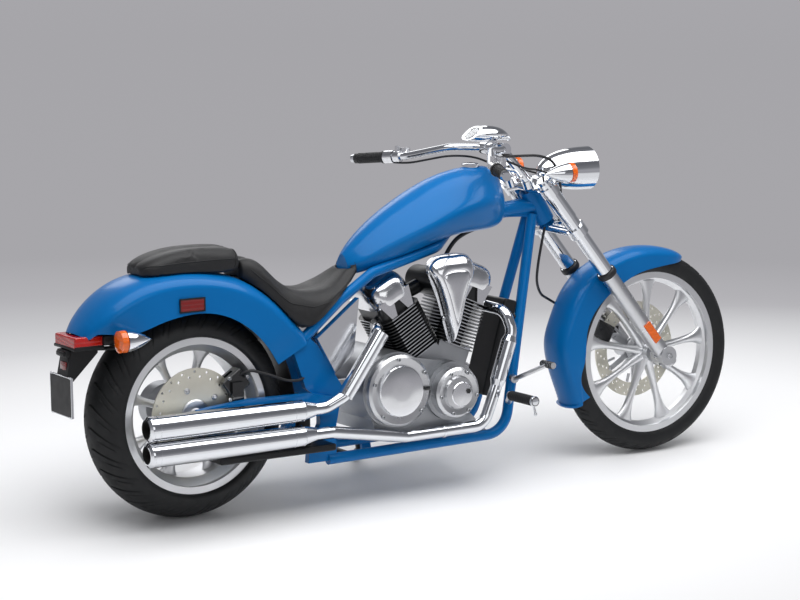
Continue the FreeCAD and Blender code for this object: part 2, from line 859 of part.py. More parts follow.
rear_fender_shares = [
    # angle from the front, radius, half width, depth of the side
    (143.0, 1.045, 0.56, 0.050), (136.0, 1.055, 0.80, 0.150), (128.0, 1.060, 0.93, 0.268),
    (116.0, 1.055, 1.000, 0.310), (100.0, 1.020, 1.000, 0.295), (84.0, 0.998, 1.000, 0.278),
    (66.0, 0.996, 1.000, 0.290), (50.0, 0.990, 1.000, 0.300), (37.0, 1.000, 0.980, 0.318), (27.0, 1.028, 0.960, 0.345),
]


def arch_wire(centre, angle, radius, half, depth, crown_share):
    """Upside-down U across the machine, closed along its open side."""
    out = vec(cos(radians(angle)), 0, sin(radians(angle)))
    top = centre + out * radius
    foot = centre + out * (radius - depth)
    ring = []
    for turn in (0, 20, 40, 60, 75, 90):
        across = sin(radians(turn)) ** 0.85
        drop = (1 - cos(radians(turn)) ** 0.9) * half * crown_share
        ring.append(top - out * drop + AXIS_Y * (half * across))
    left = [point for point in reversed(ring)]
    right = [point - AXIS_Y * (2 * point.y) for point in ring[1:]]
    curve = Part.BSplineCurve()
    curve.interpolate(left + right)
    start = foot + AXIS_Y * half
    end = foot - AXIS_Y * half
    return Part.Wire([
        Part.LineSegment(start, left[0]).toShape(), curve.toShape(),
        Part.LineSegment(right[-1], end).toShape(), Part.LineSegment(end, start).toShape()])


def arch_solid(centre, stations, radius, half, crown_share, inset, extra_depth):
    wires = []
    for angle, radius_share, half_share, depth_share in stations:
        arch_half = half * half_share - inset
        least = arch_half * crown_share * 1.02
        depth = max(radius * depth_share, least) - inset + extra_depth
        wires.append(arch_wire(centre, angle, radius * radius_share - inset, arch_half, depth, crown_share))
    return loft(wires)


def rear_fender():
    outer = arch_solid(REAR_AXLE, rear_fender_shares, rear_fender_radius, rear_fender_half, 0.42, 0, 0)
    inner = arch_solid(
        REAR_AXLE, longer(rear_fender_shares), rear_fender_radius, rear_fender_half, 0.42, rear_fender_wall, overrun * 4)
    return outer.cut(inner)


def longer(stations):
    """The same stations with the first and last pushed outwards, for a cut that runs through both ends."""
    first, last = stations[0], stations[-1]
    return [(first[0] + 1.5,) + first[1:]] + stations[1:-1] + [(last[0] - 1.5,) + last[1:]]


front_fender_shares = [
    (204.0, 1.010, 0.90, 0.205), (180.0, 1.034, 1.00, 0.230), (160.0, 1.062, 1.00, 0.240), (145.0, 1.064, 1.00, 0.252),
    (131.0, 1.048, 1.00, 0.266), (118.0, 1.015, 1.00, 0.248), (105.0, 0.990, 1.00, 0.218), (92.0, 0.968, 0.98, 0.190),
    (80.0, 0.956, 0.92, 0.150), (71.0, 0.948, 0.74, 0.100), (66.5, 0.938, 0.46, 0.050),
]


def front_fender():
    outer = arch_solid(FRONT_AXLE, front_fender_shares, front_fender_radius, front_fender_half, 0.5, 0, 0)
    inner = arch_solid(
        FRONT_AXLE, longer(front_fender_shares), front_fender_radius, front_fender_half, 0.5,
        front_fender_wall, overrun * 4)
    return outer.cut(inner)


tank_shares = [
    # along from the front, top, half width at the widest, height of the widest, bottom
    (0.000, 0.835, 0.30, 0.62, 0.42),
    (0.045, 0.945, 0.52, 0.64, 0.37),
    (0.150, 0.995, 0.80, 0.66, 0.34),
    (0.300, 0.965, 0.97, 0.62, 0.33),
    (0.480, 0.860, 1.00, 0.52, 0.27),
    (0.660, 0.690, 0.93, 0.39, 0.17),
    (0.820, 0.500, 0.74, 0.26, 0.07),
    (0.940, 0.310, 0.50, 0.14, 0.00),
    (1.000, 0.190, 0.24, 0.08, 0.00),
]


def tank_wire(along, top, half, wide, low, grow=0):
    x = tank_front_x - tank_length * along + grow * (1 - 2 * along)
    base = tank_top_z - tank_height
    top_z = base + tank_height * top + grow
    wide_z = base + tank_height * wide
    low_z = base + tank_height * low - grow
    half_y = tank_half * half + grow
    right = [
        (0.0, top_z), (0.42, top_z - (top_z - wide_z) * 0.16), (0.82, wide_z + (top_z - wide_z) * 0.36),
        (1.0, wide_z), (0.93, wide_z - (wide_z - low_z) * 0.42), (0.70, low_z + (wide_z - low_z) * 0.10),
        (0.42, low_z),
    ]
    left = [(-share, z) for share, z in reversed(right[1:])]
    return loop_wire([vec(x, half_y * share, z) for share, z in right + left])


def fuel_tank():
    shell = loft([tank_wire(*station) for station in tank_shares])
    route = backbone_route(backbone_radius)
    tunnel = bar(route, backbone_radius + seat_gap, rail_bend * 4)
    slot = block(
        vec(route[-1].x, -backbone_radius - seat_gap, backbone_end_z - tank_height),
        vec(route[0].x, backbone_radius + seat_gap, backbone_end_z))
    shell = shell.cut(tunnel).cut(slot).cut(neck_gusset(seat_gap)).cut(filler_cap())
    for side in (-1, 1):
        shell = shell.cut(rail_room(side))
    return largest(shell)


def filler_cap():
    top_z = tank_top_z + filler_height
    skirt_z = tank_top_z - filler_height * 3
    centre = vec(filler_x, 0, skirt_z)
    height = top_z - skirt_z
    return turned([
        (0, 0), (0, filler_radius * 0.86), (height - filler_height, filler_radius * 0.86),
        (height - filler_height, filler_radius), (height - filler_height * 0.4, filler_radius),
        ((height - filler_height * 0.1, filler_radius * 0.8), (height, filler_radius * 0.5)), (height, 0)],
        centre, AXIS_Z)


rider_shares = [
    # along from the back, top, half width, height of the widest, bottom
    (0.000, 0.960, 0.50, 0.86, 0.70),
    (0.050, 0.990, 0.62, 0.84, 0.62),
    (0.200, 0.800, 0.82, 0.60, 0.36),
    (0.360, 0.560, 0.96, 0.30, 0.08),
    (0.480, 0.505, 1.00, 0.24, 0.04),
    (0.600, 0.510, 0.98, 0.32, 0.19),
    (0.760, 0.620, 0.80, 0.50, 0.42),
    (0.900, 0.830, 0.52, 0.74, 0.62),
    (1.000, 0.960, 0.28, 0.90, 0.72),
]


def seat_wire(x, base, height, half, top, wide, low):
    top_z = base + height * top
    wide_z = base + height * wide
    low_z = base + height * low
    right = [
        (0.0, top_z - (top_z - wide_z) * 0.05), (0.50, top_z), (0.86, wide_z + (top_z - wide_z) * 0.62), (1.0, wide_z),
        (0.93, low_z + (wide_z - low_z) * 0.22), (0.70, low_z),
    ]
    left = [(-share, z) for share, z in reversed(right[1:])]
    return loop_wire([vec(x, half * share, z) for share, z in right + left])


def rider_seat():
    base = seat_top_z - seat_height
    wires = []
    for along, top, half, wide, low in rider_shares:
        wires.append(seat_wire(seat_back_x + seat_length * along, base, seat_height, seat_half * half, top, wide, low))
    return loft(wires)


pillion_shares = [
    (0.000, 0.42, 0.50, 0.24, 0.06), (0.060, 0.58, 0.78, 0.30, 0.00), (0.300, 0.90, 0.98, 0.42, 0.00),
    (0.600, 1.00, 1.00, 0.46, 0.00), (0.900, 0.94, 0.92, 0.44, 0.00), (1.000, 0.86, 0.80, 0.42, 0.10),
]


def pillion_pad():
    base = seat_top_z + pillion_height * 0.42 - pillion_height
    wires = []
    for along, top, half, wide, low in pillion_shares:
        wires.append(seat_wire(
            pillion_back_x + pillion_length * along, base, pillion_height, pillion_half * half, top, wide, low))
    return loft(wires)


# Engine

def vee_direction(side):
    """Axis of a cylinder: -1 is the rear one, 1 the front one."""
    angle = radians(side * vee_angle / 2 - vee_tilt)
    return vec(sin(angle), 0, cos(angle))


def vee_point(side, height):
    return vec(crank_x, 0, crank_z) + vee_direction(side) * height


def lay_on_vee(shape, side):
    """Turn and move a piece drawn upright at the origin onto a cylinder's axis."""
    shape.rotate(vec(0, 0, 0), AXIS_Y, side * vee_angle / 2 - vee_tilt)
    shape.translate(vec(crank_x, 0, crank_z))
    return shape


def other_half(side):
    """Everything beyond the plane that halves the vee, seen from one cylinder."""
    size = wheelbase
    low = vec(-fin_thickness / 2, -size, -size)
    room = block(low, vec(size, size, size))
    if side > 0:
        room = block(vec(-size, -size, -size), vec(fin_thickness / 2, size, size))
    room.rotate(vec(0, 0, 0), AXIS_Y, -vee_tilt)
    room.translate(vec(crank_x, 0, crank_z))
    return room


def crankcase():
    """Crankcase with the round chests of the clutch and crank and a deck under each barrel."""
    crank = rod(vec(crank_x, -case_right, crank_z), vec(crank_x, case_left, crank_z), crank_case_radius)
    clutch = rod(vec(clutch_x, -case_right, clutch_z), vec(clutch_x, case_left, clutch_z), clutch_case_radius)
    body = side_plate([
        (clutch_x, clutch_z + clutch_case_radius * 0.9), (crank_x, crank_z + crank_case_radius * 0.98),
        (crank_x + crank_case_radius * 0.85, crank_z - crank_case_radius * 0.35),
        (crank_x + crank_case_radius * 0.45, case_bottom_z), (clutch_x - clutch_case_radius * 0.5, case_bottom_z),
        (clutch_x - clutch_case_radius * 0.9, clutch_z)], -case_right * 0.86, case_left * 0.86)
    pieces = [crank, clutch, body]
    for side in (-1, 1):
        deck = block(vec(-deck_half, -deck_half * 1.3, 0), vec(deck_half, deck_half * 1.3, deck_height))
        pieces.append(lay_on_vee(deck, side))
        pieces += engine_lugs(side)
    case = fused(*pieces)
    for side in (-1, 1):
        case = largest(case.cut(cradle(side, downtube_radius + seat_gap)))
    for side in (-1, 1):
        case = case.cut(barrel_room(side))
    return case


def engine_lugs(side):
    """Lugs of one side that hold the crankcase: one behind on the frame plate, one ahead on the cradle."""
    plate_x = plate_rear_x + plate_length * 0.90
    inner = side * (plate_inner - seat_gap)
    outer = side * (plate_inner - plate_thickness)
    low_y, high_y = sorted((inner, outer))
    rear = block(
        vec(plate_x, low_y, plate_bottom_z + plate_height * 0.46),
        vec(clutch_x, high_y, plate_bottom_z + plate_height * 0.58))
    low_y, high_y = sorted((side * cradle_half, side * (cradle_half - lug_width)))
    ahead = side_plate([
        (crank_x + crank_case_radius * 0.3, crank_z - crank_case_radius * 0.2),
        (cradle_front_x - cradle_bend * 0.4, cradle_z + lip_width), (cradle_front_x - cradle_bend, cradle_z),
        (crank_x + crank_case_radius * 0.3, case_bottom_z + lip_width)], low_y, high_y)
    return [rear, ahead]


def barrel_room(side):
    """Space that a finned barrel takes above its deck."""
    half_x = fin_half_x + fin_thickness
    half_y = fin_half_y + fin_thickness
    room = block(vec(-half_x, -half_y, deck_height), vec(half_x, half_y, deck_height + barrel_height))
    return lay_on_vee(room, side)


def barrel(side):
    """Cylinder with its cooling fins, trimmed where the two cylinders lean together."""
    pieces = [rod(vec(0, 0, deck_height), vec(0, 0, deck_height + barrel_height), barrel_core_radius)]
    pitch = (barrel_height - fin_thickness) / (fin_count - 1)
    for number in range(fin_count):
        z = deck_height + number * pitch
        low = vec(-fin_half_x, -fin_half_y, z)
        plate = block(low, vec(fin_half_x, fin_half_y, z + fin_thickness))
        corners = [edge for edge in plate.Edges if edge.BoundBox.ZLength > fin_thickness / 2]
        pieces.append(plate.makeFillet(fin_corner, corners))
    body = pieces[0].multiFuse(pieces[1:])
    return lay_on_vee(body, side).cut(other_half(side))


def cylinder_head(side):
    base = deck_height + barrel_height
    low = vec(-fin_half_x * 0.86, -fin_half_y * 0.86, base)
    body = block(low, vec(fin_half_x * 0.86, fin_half_y * 0.86, base + head_height))
    corners = [edge for edge in body.Edges if edge.BoundBox.ZLength > head_height / 2]
    body = body.makeFillet(fin_corner * 0.8, corners)
    return lay_on_vee(body, side).cut(other_half(side))


head_cover_shares = [(0.0, 0.96, 0.98), (0.35, 1.0, 1.0), (0.80, 0.88, 0.86), (1.0, 0.62, 0.60)]


def head_cover(side):
    """Bright rocker cover with two broad tongues that come down over the head on each side."""
    base = deck_height + barrel_height + head_height
    wires = []
    for rise, half_x, half_y in head_cover_shares:
        x = fin_half_x * 0.98 * half_x
        y = fin_half_y * 0.98 * half_y
        z = base + head_cover_height * rise
        ring = [(1, 0), (0.93, 0.62), (0.62, 0.93), (0, 1), (-0.62, 0.93), (-0.93, 0.62)]
        ring += [(-a, -b) for a, b in ring]
        wires.append(loop_wire([vec(x * a, y * b, z) for a, b in ring]))
    dome = loft(wires)
    pieces = [dome]
    for face in (-1, 1):
        y = face * fin_half_y * 0.95
        skin = face * lip_width
        low = base - head_height * 1.25
        for start, end in ((-0.86, -0.10), (0.0, 0.80)):
            tongue = [
                (fin_half_x * start, base + head_height * 0.5), (fin_half_x * end, base + head_height * 0.5),
                (fin_half_x * (end * 0.7 + start * 0.3), low), (fin_half_x * (start * 0.55 + end * 0.45), low)]
            pieces.append(side_plate(tongue, min(y, y - skin), max(y, y - skin)))
    body = pieces[0].multiFuse(pieces[1:])
    return largest(lay_on_vee(body, side).cut(other_half(side)))


def dished_cover(centre_x, centre_z, radius, depth):
    """Round cover on the right side with a raised polished centre."""
    dish = radius * cover_dish_share
    centre = vec(centre_x, -case_right - seat_gap, centre_z)
    return turned([
        (0, 0), (0, radius), (depth - cover_edge * 1.8, radius), (depth - cover_edge, radius - cover_edge),
        (depth - cover_edge * 1.4, dish + cover_edge * 0.5), (depth - cover_edge * 0.4, dish), (depth, 0)],
        centre, vec(0, -1, 0))


def left_cover(centre_x, centre_z, radius, depth):
    centre = vec(centre_x, case_left + seat_gap, centre_z)
    return turned([
        (0, 0), (0, radius), (depth - cover_edge, radius), (depth, radius - cover_edge), (depth, 0)], centre, AXIS_Y)


air_cover_shares = [
    (0.0, 0.0), (0.07, 0.10), (0.22, 0.45), (0.38, 0.72), (0.45, 0.88), (0.36, 0.97), (0.0, 1.0), (-0.36, 0.97),
    (-0.50, 0.88), (-0.42, 0.72), (-0.25, 0.45), (-0.09, 0.10),
]


def air_cover():
    """Bright drop-shaped cover over the intake, broad at the top and pointed below."""
    def drop(y, scale):
        middle = 0.6
        ring = []
        for across, up in air_cover_shares:
            ring.append(vec(
                air_cover_x + air_cover_width * across * scale, y,
                air_cover_low_z + air_cover_height * (middle + (up - middle) * scale)))
        return loop_wire(ring)
    back = -air_cover_y
    return loft([
        drop(back, 0.90), drop(back - air_cover_depth * 0.40, 1.0), drop(back - air_cover_depth * 0.78, 0.90),
        drop(back - air_cover_depth, 0.60)])


def air_mount():
    """Throttle duct between the cylinders, with an arm into each head."""
    centre = vec(air_cover_x, 0, air_cover_low_z + air_cover_height * 0.66)
    low = centre - vec(0, air_cover_y - seat_gap, 0)
    duct = rod(low, centre + vec(0, air_cover_y * 0.5, 0), air_cover_width * 0.27)
    for side in (-1, 1):
        duct = duct.fuse(rod(centre, vee_point(side, deck_height + barrel_height + head_height / 2), intake_radius))
    return duct


def radiator():
    """Core behind the downtubes, in line with them, on four pegs."""
    lean = atan2(cradle_front_x + downtube_radius - steer_point(neck_low).x + neck_radius, neck_low - cradle_z)
    core = rounded_block(
        vec(-radiator_depth, -radiator_half, 0), vec(0, radiator_half, radiator_height), radiator_depth * 0.18)
    core.rotate(vec(0, 0, 0), AXIS_Y, degrees(-lean))
    core.translate(vec(radiator_foot_x, 0, radiator_foot_z))
    for side in (-1, 1):
        for share in (0.2, 0.8):
            place = downtube_point(radiator_foot_z + radiator_height * share, side)
            inside = vec(place.x - downtube_radius - radiator_depth * 0.4, side * radiator_half * 0.8, place.z)
            core = core.fuse(rod(place, inside, riser_radius * 0.5))
    for side in (-1, 1):
        core = core.cut(cradle(side, downtube_radius + seat_gap))
    return largest(core)


def left_side_covers():
    """Alternator and gear covers on the left of the crankcase."""
    return group(
        left_cover(crank_x, crank_z, crank_case_radius * 1.08, case_right * 0.30),
        left_cover(clutch_x, clutch_z, clutch_case_radius * 0.72, case_right * 0.22))


# Exhaust

def muffler(z):
    """Long taper-ended can with an open tip."""
    tip = vec(muffler_tip_x, -muffler_y, z)
    length = muffler_front_x - muffler_tip_x
    neck_end = length * 1.0
    return turned([
        (0, muffler_tip_radius - header_wall * 2), (0, muffler_tip_radius), (length * 0.30, muffler_tip_radius),
        (length * 0.92, muffler_front_radius), (neck_end, header_radius + header_wall), (neck_end, header_radius * 0.4),
        (tip_depth, header_radius * 0.4), (tip_depth, muffler_tip_radius - header_wall * 2)], tip, AXIS_X)


def head_port(side):
    """Middle of a head's outward face, low enough to clear the rocker cover."""
    angle = radians(side * vee_angle / 2 - vee_tilt)
    outward = vec(cos(angle), 0, -sin(angle)) * side
    face = outward * (fin_half_x * 0.86 + seat_gap)
    return vee_point(side, deck_height + barrel_height + header_radius * 0.2) + face, outward


def front_header():
    port, outward = head_port(1)
    start = port - AXIS_Y * (fin_half_y * 0.40)
    points = [
        start, start + outward * header_radius - AXIS_Y * (header_radius * 0.4),
        vec(crank_x + crank_case_radius * 2.36, -case_right * 0.86, crank_z + crank_case_radius * 2.50),
        vec(crank_x + crank_case_radius * 2.44, -case_right * 1.04, crank_z + crank_case_radius * 1.86),
        vec(crank_x + crank_case_radius * 1.72, -case_right * 1.06, crank_z - crank_case_radius * 0.1),
        vec(crank_x + crank_case_radius * 1.22, -case_right * 1.06, case_bottom_z - header_radius * 0.4),
        vec(clutch_x + clutch_case_radius * 0.2, -case_right * 1.10, case_bottom_z - header_radius * 0.5),
        vec(muffler_front_x + header_radius * 3, -muffler_y, lower_muffler_z),
        vec(muffler_front_x + seat_gap, -muffler_y, lower_muffler_z),
    ]
    return fused(bar(points, header_radius, header_bend), *front_shield(points[3], points[4]))


def front_shield(high, low):
    """Heat shield round the long upright run, tapered onto the pipe at both ends."""
    down = (low - high).normalize()
    top = high + down * (header_bend * 0.3)
    bottom = low - down * (header_bend * 0.2)
    step = down * (shield_radius - header_radius) * 3
    end_radius = header_radius + seat_gap
    return [
        cone(top, top + step, end_radius, shield_radius), rod(top + step, bottom - step, shield_radius),
        cone(bottom - step, bottom, shield_radius, end_radius)]


def rear_header():
    port, outward = head_port(-1)
    start = port - AXIS_Y * (fin_half_y * 0.40)
    points = [
        start, start + outward * header_radius - AXIS_Y * (header_radius * 0.4),
        vec(clutch_x - clutch_case_radius * 0.62, -case_right * 1.12, clutch_z + clutch_case_radius * 1.66),
        vec(clutch_x - clutch_case_radius * 1.02, -muffler_y * 1.02, clutch_z + clutch_case_radius * 1.16),
        vec(plate_rear_x + plate_length * 0.76, -muffler_y * 1.02, upper_muffler_z + header_radius * 1.6),
        vec(muffler_front_x + header_radius * 2, -muffler_y, upper_muffler_z),
        vec(muffler_front_x + seat_gap, -muffler_y, upper_muffler_z),
    ]
    return bar(points, header_radius, header_bend).fuse(rear_shield(points[3], points[4]))


def rear_shield(high, low):
    """Straight heat shield that stands past the pipe's bend, open at its top."""
    up = (high - low).normalize()
    top = high + up * shield_overhang
    sleeve_tube = rod(low, top, shield_radius)
    return sleeve_tube.cut(rod(high - up * header_radius, top + up * overrun, shield_radius - header_wall))


def muffler_bracket():
    """Stay under the frame plate, with an upright that both cans are fixed to."""
    plate_face = plate_inner + plate_thickness + seat_gap
    low_z = lower_muffler_z - muffler_tip_radius - bracket_drop
    low = vec(muffler_tip_x * -0.1, -muffler_y, low_z)
    high = vec(plate_rear_x + plate_length * 0.6, -plate_face, low_z + bracket_drop)
    stay = rounded_block(low, high, lip_width)
    right = vec(plate_rear_x, -hanger_y, low_z + lip_width)
    arm_face = arm_inner + arm_thickness + seat_gap
    hanger = block(right, vec(plate_rear_x + hanger_width, -arm_face, upper_muffler_z))
    body = fused(stay, hanger)
    for z in (upper_muffler_z, lower_muffler_z):
        start = vec(muffler_tip_x, -muffler_y, z)
        room = cone(
            start, vec(muffler_front_x, -muffler_y, z), muffler_tip_radius + seat_gap, muffler_front_radius + seat_gap)
        body = body.cut(room)
    return largest(body)


# Fork

def brake_hose():
    """Front brake hose, from the lower yoke down past the fender to the caliper."""
    hose = bar(hose_route, hose_radius, wheelbase)
    spent = [(after - before).Length for before, after in zip(hose_route, hose_route[1:])]
    print("brake hose", round(sum(spent)), "mm along its corners")
    yoke = lower_yoke()
    hose = hose.cut(yoke).cut(front_brake())
    return largest(hose)


def fork_hoses(controls, lamp):
    """Both runs of the front brake hose, and the wires from the switches into the headlamp."""
    upper = bar(upper_hose_route, hose_radius, wheelbase).cut(lower_yoke()).cut(controls)
    wire = bar(wire_route, wire_radius, wheelbase)
    wires = [largest(run.cut(controls).cut(lamp)) for run in (wire, mirrored(wire))]
    return group(brake_hose(), largest(upper), *wires)


def fork_reflector():
    """Left reflector, on the outside of the slider."""
    centre = leg_point(slider_length * reflector_share, 1) + AXIS_Y * (slider_radius - lip_width / 3)
    across = leg_direction().cross(AXIS_Y)
    disc = turned_block(
        centre, AXIS_Y, across, leg_direction(), (0, lip_width), reflector_width / 2, reflector_length / 2)
    return disc.cut(leg_room(1))


def sliders():
    """Lower fork legs with the lugs that clamp the axle."""
    legs = []
    for side in (-1, 1):
        leg = rod(leg_point(-slider_foot, side), leg_point(slider_length, side), slider_radius)
        lug = rod(
            leg_point(0, side) - AXIS_Y * (slider_radius * 1.1), leg_point(0, side) + AXIS_Y * (slider_radius * 1.1),
            slider_radius * 1.15)
        reach = AXIS_Y * (slider_radius * 2)
        bore = rod(leg_point(0, side) - reach, leg_point(0, side) + reach, front_axle_radius)
        legs.append(fused(leg, lug, fender_boss(side)).cut(bore))
    return group(*legs)


def leg_room(side):
    """Space that a slider takes, with a seat's gap around it."""
    return rod(leg_point(-slider_foot, side), leg_point(slider_length, side), slider_radius + seat_gap)


def fender_boss(side):
    """Boss on the inside of a slider that carries the front fender."""
    place = leg_point(slider_length * 0.92, side)
    return rod(place, vec(place.x, side * (front_fender_half + seat_gap), place.z), fender_boss_radius)


def fork_ring(side):
    """Dust seal on top of a slider."""
    return rod(leg_point(slider_length, side), leg_point(slider_length + seal_height, side), seal_radius)


def fork_tubes():
    tubes = []
    for side in (-1, 1):
        start = leg_point(slider_length + seal_height, side)
        lower = rod(start, leg_point(cover_start, side), tube_radius)
        upper = rod(leg_point(cover_start, side), leg_point(fork_length, side), cover_radius)
        cap = rod(leg_point(fork_length, side), leg_point(fork_length + seal_height * 0.5, side), cover_radius * 0.7)
        tubes.append(fused(lower, upper, cap, fork_ring(side)))
    return group(*tubes)


def clamp(at):
    """One fork yoke: a bridge from the steering axis to a split clamp round each leg."""
    height = leg_point(at, 0).z
    stem_at = steer_point(height + clamp_thickness * 0.5)
    across = vec(cos(radians(steering_rake)), 0, sin(radians(steering_rake)))
    up = steer_direction()
    pieces = []
    for side in (-1, 1):
        leg = leg_point(at, side)
        pieces.append(rod(
            leg - leg_direction() * (clamp_thickness / 2), leg + leg_direction() * (clamp_thickness / 2), clamp_grip))
        wires = []
        for share in (0.0, 0.5, 1.0):
            middle = stem_at * (1 - share) + leg * share
            wires.append(ellipse_wire(middle, across, up, clamp_grip * 0.95, clamp_thickness * 0.46))
        pieces.append(loft(wires))
    body = pieces[0].multiFuse(pieces[1:])
    holes = []
    for side in (-1, 1):
        leg = leg_point(at, side)
        radius = cover_radius if at > cover_start else tube_radius
        holes.append(rod(leg - leg_direction() * clamp_grip, leg + leg_direction() * clamp_grip, radius))
    return body.cut(holes[0]).cut(holes[1])


def lower_yoke():
    """Lower yoke with the steering stem, which turns inside the steering head."""
    stem = rod(steer_point(neck_low - clamp_thickness * 0.8), steer_point(neck_high + clamp_thickness * 0.6), stem_radius)
    room = rod(
        steer_point(neck_low) - steer_direction() * clear_gap * 0.2, steer_point(neck_high + neck_radius),
        neck_radius * 1.25)
    return largest(clamp(lower_clamp_at).cut(room)).fuse(stem)


def upper_yoke():
    low = steer_point(neck_high)
    room = rod(low - steer_direction() * neck_radius * 2, low + steer_direction() * clear_gap * 0.2, neck_radius * 1.25)
    stem = rod(steer_point(neck_low), steer_point(neck_high + clamp_thickness * 0.6), stem_radius)
    return largest(clamp(upper_clamp_at).cut(room).cut(stem))


def front_axle():
    """Axle through both legs, with a spacer on each side of the hub."""
    half = fork_half + slider_radius * 1.35
    pieces = [rod(FRONT_AXLE - AXIS_Y * half, FRONT_AXLE + AXIS_Y * half, front_axle_radius - seat_gap)]
    leg_face = fork_half - slider_radius * 1.1 - seat_gap
    for side, hub_end in ((-1, front_hub_right), (1, front_disc_y + disc_thickness / 2)):
        start = FRONT_AXLE + AXIS_Y * (side * (hub_end + running_gap * 4))
        pieces.append(rod(start, FRONT_AXLE + AXIS_Y * (side * leg_face), front_axle_radius * 1.7))
    return fused(*pieces)


def handlebar():
    """One wide pulled-back tube from grip to grip."""
    right = []
    for along, y_share, up in bar_shares:
        right.append(vec(bar_clamp_x + bar_reach * along, -bar_half * y_share, bar_clamp_z + bar_rise * up))
    left = [vec(point.x, -point.y, point.z) for point in reversed(right)]
    return bar(right + left, bar_radius, bar_bend)


def bar_run():
    """End and inner point of the straight that holds the right grip."""
    ends = []
    for along, y_share, up in bar_shares[:2]:
        ends.append(vec(bar_clamp_x + bar_reach * along, -bar_half * y_share, bar_clamp_z + bar_rise * up))
    return ends


def on_bar(distance, side):
    """Point on the grip's straight, measured in from the end of the bar."""
    end, inner = bar_run()
    point = end + (inner - end).normalize() * distance
    return vec(point.x, -side * point.y, point.z)


def bar_direction(side):
    step = on_bar(1, side) - on_bar(0, side)
    return step.normalize()


def sleeve(start, end, side, radius):
    """Tube round the bar between two distances from its end."""
    return rod(on_bar(start, side), on_bar(end, side), radius).cut(
        rod(on_bar(start - overrun, side), on_bar(end + overrun, side), bar_radius))


def grips():
    pair = []
    for side in (-1, 1):
        step = bar_direction(side)
        rubber = rod(on_bar(0, side), on_bar(grip_length, side), grip_radius)
        collar = rod(on_bar(grip_length - lip_width, side), on_bar(grip_length, side), grip_radius * 1.25)
        rubber = rubber.fuse(collar).cut(rod(on_bar(0, side) - step * overrun, on_bar(grip_length * 2, side), bar_radius))
        pair.append(rubber)
    return group(*pair)


def bar_ends():
    pair = []
    for side in (-1, 1):
        step = bar_direction(side)
        pair.append(cone(on_bar(0, side) - step * seat_gap, on_bar(0, side) - step * (grip_radius * 0.9),
                         grip_radius, grip_radius * 0.8))
    return group(*pair)


def switchgear():
    """Switch housing beside each grip."""
    pair = []
    start = grip_length + lip_width * 0.5
    for side in (-1, 1):
        housing = sleeve(start, start + switch_length, side, switch_radius)
        pair.append(housing)
    return group(*pair)


def lever_sets():
    """Lever perch, fluid reservoir and lever blade on each side."""
    pair = []
    start = grip_length + switch_length + lip_width
    for side in (-1, 1):
        perch = sleeve(start, start + switch_length * 0.7, side, switch_radius * 0.86)
        middle = on_bar(start + switch_length * 0.35, side)
        tank = rod(
            middle + vec(switch_radius * 1.25, 0, switch_radius * 0.10),
            middle + vec(switch_radius * 1.25, 0, switch_radius * 1.3), switch_radius * 0.85)
        tank = tank.cut(rod(on_bar(0, side), on_bar(bar_half, side), bar_radius))
        pivot = middle + vec(switch_radius * 1.5, 0, -switch_radius * 0.2)
        arm = rod(middle + vec(bar_radius * 1.1, 0, 0), pivot, lever_radius * 1.2)
        tip = on_bar(grip_length * 0.12, side) + vec(lever_reach, 0, -lever_reach * 0.15)
        knee = on_bar(grip_length * 0.9, side) + vec(lever_reach * 1.15, 0, -lever_reach * 0.1)
        blade = bar([pivot, knee, tip], lever_radius, lever_reach)
        ball = Part.makeSphere(lever_radius * 1.6, tip)
        root, top = mirror_boss(side)
        boss = rod(root, top, mirror_boss_radius)
        hole = rod(top - AXIS_Z * mirror_hole_depth, top + AXIS_Z * overrun, mirror_hole_radius)
        pair.append(fused(perch, tank, arm, blade, ball, boss).cut(hole))
    return group(*pair)


def mirror_boss(side):
    """Foot and top of the threaded boss for a mirror, behind the reservoir."""
    middle = on_bar(grip_length + switch_length + lip_width + switch_length * 0.35, side)
    root = middle + vec(-bar_radius * 0.2, 0, bar_radius)
    return root, root + AXIS_Z * (mirror_hole_depth + lip_width * 1.6)


def risers():
    """Two pulled-back posts on the upper yoke, with a cap over the bar."""
    pair = []
    for side in (-1, 1):
        start = vec(riser_foot_x, side * riser_half, riser_foot_z)
        top = vec(bar_clamp_x, side * riser_half, bar_clamp_z)
        post = rod(start, top, riser_radius)
        cap = rod(top - AXIS_Y * riser_radius, top + AXIS_Y * riser_radius, bar_radius * 1.75)
        foot_bar = rod(start, start + vec(riser_radius * 0.6, 0, -riser_radius * 1.5), riser_radius * 1.2)
        pair.append(fused(post, cap, foot_bar))
    return group(*pair)


meter_shares = [
    # along from the back, height of the middle, half width, half height
    (0.00, -0.22, 0.50, 0.11), (0.22, -0.02, 0.88, 0.44), (0.50, 0.00, 1.00, 0.50), (0.80, -0.07, 0.78, 0.37),
    (1.00, -0.40, 0.36, 0.11),
]


def meter():
    """Instrument in a wedge of a housing above the bar clamps, cut off flat where its dial faces the rider."""
    wires = []
    for along, rise, half, tall in meter_shares:
        centre = vec(meter_back_x + meter_length * along, 0, meter_z + meter_height * rise)
        wires.append(ellipse_wire(centre, AXIS_Y, AXIS_Z, meter_half * half, meter_height * tall))
    tilt = vec(-sin(radians(meter_tilt)), 0, cos(radians(meter_tilt)))
    dial = vec(dial_x, 0, dial_z)
    above = turned_block(
        dial, tilt, AXIS_Y, tilt.cross(AXIS_Y), (0, meter_length), meter_length, meter_length)
    return largest(loft(wires).cut(above).cut(rod(dial - tilt * dial_depth, dial + tilt * overrun, dial_radius)))


def meter_stay():
    """Bridge between the bar clamps and the post that carries the instrument."""
    foot = vec(bar_clamp_x, 0, bar_clamp_z)
    half = AXIS_Y * riser_half
    bridge = rod(foot - half, foot + half, bar_radius * 1.5)
    return bridge.fuse(rod(foot, vec(bar_clamp_x, 0, meter_z), lever_radius * 1.6))


